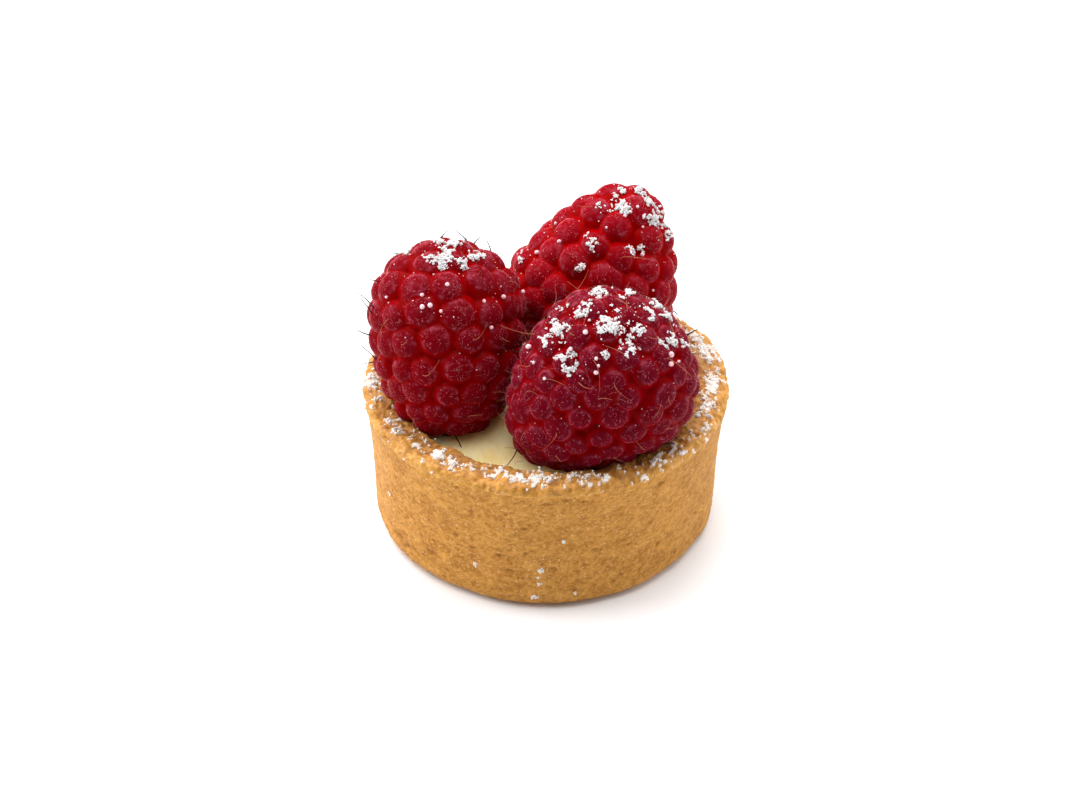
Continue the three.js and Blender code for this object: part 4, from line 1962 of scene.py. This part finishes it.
@dataclass
class Styles:
    """The thin dry styles that stand on some drupelets, one to a drupelet, and the berries' long dark strays.

    kinds holds for each berry the share of its drupelets with a style, the share of those that are dark, and
    how upright they stand. The strays stand away from the fruit. bends and stray_bend are how far a style is
    bent aside, as a share of its length, and sunk how far its root lies below the drupelet's top.
    """

    kinds: tuple[tuple[float, float, float], ...] = ((0.55, 0.3, 1.0), (0.65, 0.12, 0.35), (0.3, 0.3, 0.8))
    lengths: tuple[float, float] = (1.2, 2.9)
    uprights: tuple[float, float] = (0.5, 1.3)
    bends: tuple[float, float] = (0.2, 1.3)
    tones: tuple[float, float] = (0.9, 0.1)
    sunk: float = 0.08
    thickness: float = 0.045
    stray_thickness: float = 0.095
    stray_upright: float = 9.0
    stray_bend: float = 0.25
    steps: int = 7
    seed: int = 211

    def build(self, berries: list[Raspberry], material: bpy.types.Material) -> bpy.types.Object:
        """Roots a style at the top of each chosen drupelet, and each stray at its own root.

        Args:
            berries: the raspberries.
            material: the styles' finish.

        Returns:
            The object.
        """
        draws = np.random.default_rng(self.seed)
        roots = []
        outs = []
        darks = []
        uprights = []
        for berry, (share, dark, upright) in zip(berries, self.kinds):
            seats, middles, balls = berry.drupelets()
            out = berry.core_normals(seats)
            keep = draws.random(len(seats)) < share
            roots.append(berry.to_tart(middles + out * (balls - self.sunk)[:, None])[keep])
            outs.append((out @ berry.turn())[keep])
            darks.append(np.where(draws.random(keep.sum()) < dark, *self.tones))
            uprights.append(np.full(keep.sum(), upright))
        count = sum(map(len, roots))
        upright = np.concatenate(uprights) * draws.uniform(*self.uprights, count)
        length = draws.uniform(*self.lengths, count)
        curl = draws.uniform(*self.bends, count) * length
        strays = np.array([stray for berry in berries for stray in berry.strays])
        reach = strays[:, 4]
        roots += [berry.skin.points[berry.spots(berry.strays)] for berry in berries]
        outs.append(towards(strays[:, 2], strays[:, 3]))
        darks.append(np.ones(len(strays)))
        hairs = Hairs(
            roots=np.concatenate(roots),
            outs=np.concatenate(outs),
            upright=np.concatenate([upright, np.full(len(strays), self.stray_upright)]),
            length=np.concatenate([length, reach]),
            thickness=np.repeat([self.thickness, self.stray_thickness], [count, len(strays)]),
            curl=np.concatenate([curl, self.stray_bend * reach]),
        )
        surface = hairs.surface(self.steps, self.seed)
        surface.values["tone"] = np.repeat(np.concatenate(darks), len(surface.points) // len(hairs.roots))
        piece = surface.to_object("styles", material)
        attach(piece, "root")
        return piece


@dataclass
class Down:
    """The fine pale down of the raspberries: short hairs that lie over the drupelets.

    lowest_slope and least_inward keep it off the berries' undersides and out of the creases.
    """

    count: int = 2600
    lengths: tuple[float, float] = (0.15, 0.6)
    uprights: tuple[float, float] = (0.1, 0.6)
    bends: tuple[float, float] = (0.2, 1.0)
    lowest_slope: float = -0.5
    least_inward: float = 0.8
    sunk: float = 0.01
    thickness: float = 0.01
    steps: int = 3
    seed: int = 251

    def build(self, berries: list[Raspberry], material: bpy.types.Material) -> bpy.types.Object:
        """Makes the down as one piece, spread evenly over each skin.

        Args:
            berries: the raspberries.
            material: the down's finish.

        Returns:
            The object.
        """
        draws = np.random.default_rng(self.seed)
        roots = []
        outs = []
        for berry in berries:
            skin = berry.skin
            area = skin.area_vectors()
            size = np.linalg.norm(area, axis=1)
            out = area / size[:, None]
            grows = (out[:, 2] > self.lowest_slope) & (skin.values["inward"] > self.least_inward)
            weight = size * grows
            chosen = draws.choice(len(size), self.count, p=weight / weight.sum())
            roots.append(skin.points[chosen] - self.sunk * out[chosen])
            outs.append(out[chosen])
        total = self.count * len(berries)
        length = draws.uniform(*self.lengths, total)
        hairs = Hairs(
            roots=np.concatenate(roots),
            outs=np.concatenate(outs),
            upright=draws.uniform(*self.uprights, total),
            length=length,
            thickness=np.full(total, self.thickness),
            curl=draws.uniform(*self.bends, total) * length,
        )
        surface = hairs.surface(self.steps, self.seed)
        surface.values["tone"] = np.repeat(draws.random(total), len(surface.points) // total)
        piece = surface.to_object("down", material)
        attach(piece, "root")
        return piece


# ---- the studio


@dataclass(frozen=True)
class Lamp:
    """A square soft light that points at the tart: its place and side in millimetres, its power in watts."""

    name: str
    place: tuple[float, float, float]
    size: float
    power: float

    def hang(self) -> None:
        """Adds the light to the scene."""
        data = bpy.data.lights.new(self.name, "AREA")
        data.size = self.size * MM
        data.energy = self.power
        lamp = bpy.data.objects.new(self.name, data)
        lamp.location = Vector(self.place) * MM
        lamp.rotation_euler = (-lamp.location).to_track_quat("-Z", "Y").to_euler()
        bpy.context.scene.collection.objects.link(lamp)


@dataclass
class Studio:
    """A white table under soft light, and the camera that looks down on the tart."""

    camera_place: tuple[float, float, float] = (0.0, -162.26, 134.75)
    camera_aim: tuple[float, float, float] = (-0.42, 0.0, 16.35)
    camera_roll: float = 0.0089
    lens: float = 52.0
    sensor: float = 36.0
    nearest: float = 5.0
    table: float = 8000.0
    sky: float = 0.26
    lamps: tuple[Lamp, ...] = (
        Lamp("overhead", (-80.0, 200.0, 620.0), 900.0, 10.5),
        Lamp("left_side", (-520.0, 60.0, 260.0), 380.0, 2.4),
        Lamp("right_side", (520.0, 60.0, 260.0), 380.0, 1.2),
    )

    def camera(self) -> None:
        """Sets the camera on its aim, rolled a little about its own axis."""
        data = bpy.data.cameras.new("camera")
        data.lens = self.lens
        data.sensor_width = self.sensor
        data.clip_start = self.nearest * MM
        camera = bpy.data.objects.new("camera", data)
        place = Vector(self.camera_place) * MM
        look = (Vector(self.camera_aim) * MM - place).to_track_quat("-Z", "Y").to_matrix().to_4x4()
        camera.matrix_world = Matrix.Translation(place) @ look @ Matrix.Rotation(self.camera_roll, 4, "Z")
        bpy.context.scene.collection.objects.link(camera)
        bpy.context.scene.camera = camera

    def table_top(self) -> None:
        """Lays the white table that the tart stands on."""
        material = TableFinish().material()
        half = self.table / 2.0
        corners = np.array([[-half, -half, 0.0], [half, -half, 0.0], [half, half, 0.0], [-half, half, 0.0]])
        surface = Surface(corners, np.array([[0, 1, 2, 3]]), NO_TRIANGLES)
        surface.to_object("table_top", material)

    def build(self) -> None:
        """Makes the table, the sky's even light, the lamps and the camera."""
        world = bpy.data.worlds.new("studio_world")
        world.use_nodes = True
        background = world.node_tree.nodes["Background"]
        background.inputs["Color"].default_value = (1.0, 1.0, 1.0, 1.0)
        background.inputs["Strength"].default_value = self.sky
        bpy.context.scene.world = world
        bpy.context.scene.view_settings.view_transform = "Standard"
        self.table_top()
        for lamp in self.lamps:
            lamp.hang()
        self.camera()


# ---- the tart

LEFT = Raspberry(
    name="raspberry_left",
    node="berry_left",
    place=(-12.25, -1.6, 30.6),
    lean=(-0.05, 0.565),
    spin=-1.12,
    radius=9.7,
    tip=8.5,
    base=16.6,
    taper=1.82,
    base_taper=2.35,
    oval=1.01,
    pitch=3.6,
    twist=0.2,
    seed=11,
    clumps=(
        (43, 82, 1), (-80, 77, 1), (-124, 70, 0.6), (108, 70, 0.5), (-99, 69, 0.85), (-56, 66, 0.7),
        (-6, 65, 0.85), (146, 44, 0.6),
    ),
    beads=(
        (-84, 49), (-109, 40), (-100, 34), (-105, 32), (-50, 31), (-90, 30), (-145, 28), (-29, 27),
        (-52, 13), (4, 12),
    ),
    strays=(
        (100, 60, 34, 36, 1.3), (63, 52, 143, 41, 2), (56, 47, 24, 31, 1.2), (33, 43, 119, 52, 1.7),
        (151, 40, 170, 15, 1.2), (-151, 34, -45, -43, 1.2), (-170, 29, 169, 11, 1),
        (-154, 15, 146, 38, 2.9), (-153, 10, 137, 43, 2.8), (-156, -9, 177, 3, 2.1),
        (-151, -26, 147, 37, 3), (-155, -29, -173, -7, 1.7), (-83, -45, -52, -48, 2.4),
    ),
)
FRONT = Raspberry(
    name="raspberry_front",
    node="berry_front",
    place=(8.53, -10.48, 27.92),
    lean=(1.19, 0.49),
    spin=0.25,
    radius=11.55,
    tip=9.05,
    base=15.55,
    taper=1.87,
    base_taper=1.83,
    oval=0.8,
    pitch=3.6,
    twist=1.4,
    seed=23,
    clumps=(
        (168, 85, 1), (145, 75, 1.2), (67, 73, 0.7), (-26, 69, 0.75), (-103, 64, 1.5), (-151, 63, 0.9),
        (-65, 62, 0.9), (-110, 58, 0.8), (23, 57, 0.9), (2, 54, 0.7), (-176, 52, 0.7), (-84, 52, 1),
        (-38, 47, 0.75), (-104, 44, 0.4), (-155, 42, 1.4), (-26, 42, 0.65), (-152, 36, 0.9),
        (-130, 32, 1.35), (-8, 30, 0.55),
    ),
    beads=(
        (-134, 60), (-128, 52), (-134, 40), (-111, 40), (-109, 36), (-41, 36), (-110, 32), (-45, 31),
        (-31, 27), (-166, 24), (-152, 22), (-140, 18),
    ),
    strays=(
        (19, 20, 18, 24, 1.7), (-155, -31, -126, -49, 2.6),
    ),
)
BACK = Raspberry(
    name="raspberry_back",
    node="berry_back",
    place=(5.5, 9.0, 25.15),
    lean=(0.435, 0.265),
    spin=-0.08,
    radius=11.6,
    tip=16.25,
    base=9.2,
    taper=1.22,
    base_taper=2.35,
    oval=0.89,
    pitch=4.1,
    twist=2.3,
    seed=37,
    clumps=(
        (0, 86, 0.4), (-11, 84, 0.35), (5, 77, 0.76), (-107, 76, 0.42), (30, 76, 0.35), (-10, 73, 0.5),
        (34, 72, 0.4), (-89, 69, 0.6), (24, 65, 0.55), (9, 62, 0.8), (-7, 61, 0.6), (6, 59, 0.65),
        (-41, 57, 0.6), (0, 56, 0.72), (-28, 55, 0.42), (11, 54, 0.55), (-104, 53, 0.5), (4, 48, 0.8),
        (1, 45, 0.55), (-179, 40, 0.4), (-173, 37, 0.38),
    ),
    beads=(
        (-56, 75), (-19, 72), (-3, 68), (167, 67), (-148, 65), (-15, 61), (-103, 54), (-31, 51),
        (-171, 48), (-33, 27),
    ),
    strays=(
        (2, -9, -14, -18, 1.3),
    ),
)

FRESH = RaspberryFinish()
# A darker copy of the raspberry finish for the front berry: painted shade over the whole berry.
SHADED_RASPBERRY = RaspberryFinish(
    name="shaded_raspberry",
    crease=(0.20, 0.0, 0.0015, 1.0),
    flesh=(0.13, 0.0003, 0.0035, 1.0),
    bloom=(0.125, 0.0015, 0.010, 1.0),
)
# A brighter copy of the raspberry finish for the back berry, with a deeper glow: painted light over the whole
# berry.
LIT_RASPBERRY = RaspberryFinish(
    name="lit_raspberry",
    crease=(0.29, 0.0, 0.0008, 1.0),
    flesh=(0.24, 0.0002, 0.002, 1.0),
    bloom=(0.23, 0.0008, 0.007, 1.0),
    depth=0.9,
)
DAMP_SUGAR = SugarFinish(
    name="damp_sugar",
    white=(0.92, 0.78, 0.80, 1.0),
    damp=(0.78, 0.36, 0.42, 1.0),
    wet=0.8,
    roughness=0.45,
)
# A warm-white sugar for the rim.
WARM_RIM_SUGAR = SugarFinish(
    name="rim_sugar",
    white=(1.0, 0.93, 0.84, 1.0),
    damp=(0.90, 0.62, 0.36, 1.0),
    roughness=0.7,
)
DOWN = StyleFinish(name="down", amber=(0.72, 0.30, 0.34, 1.0), dark=(0.40, 0.10, 0.13, 1.0))


def report(piece: bpy.types.Object) -> None:
    """Logs a piece's name and how many faces it has."""
    LOG.info("%s: %d faces", piece.name, len(piece.data.polygons))


def main() -> None:
    """Builds the studio, then the tart from the shell up."""
    logging.basicConfig(level=logging.INFO, format="%(name)s: %(message)s")
    Studio().build()
    shell = Shell()
    berries = [LEFT, FRONT, BACK]
    report(shell.build(PastryFinish().material()))
    report(CreamFilling(shell, berries).build(CreamFinish().material()))
    for berry, finish in zip(berries, (FRESH, SHADED_RASPBERRY, LIT_RASPBERRY)):
        report(berry.build(finish.material()))
    report(SugarOnBerries().build(berries, SugarFinish().material()))
    report(SugarBeads().build(berries, DAMP_SUGAR.material()))
    report(SugarOnRim(shell).build(WARM_RIM_SUGAR.material()))
    report(Styles().build(berries, StyleFinish().material()))
    report(Down().build(berries, DOWN.material()))


if __name__ == "__main__":
    main()
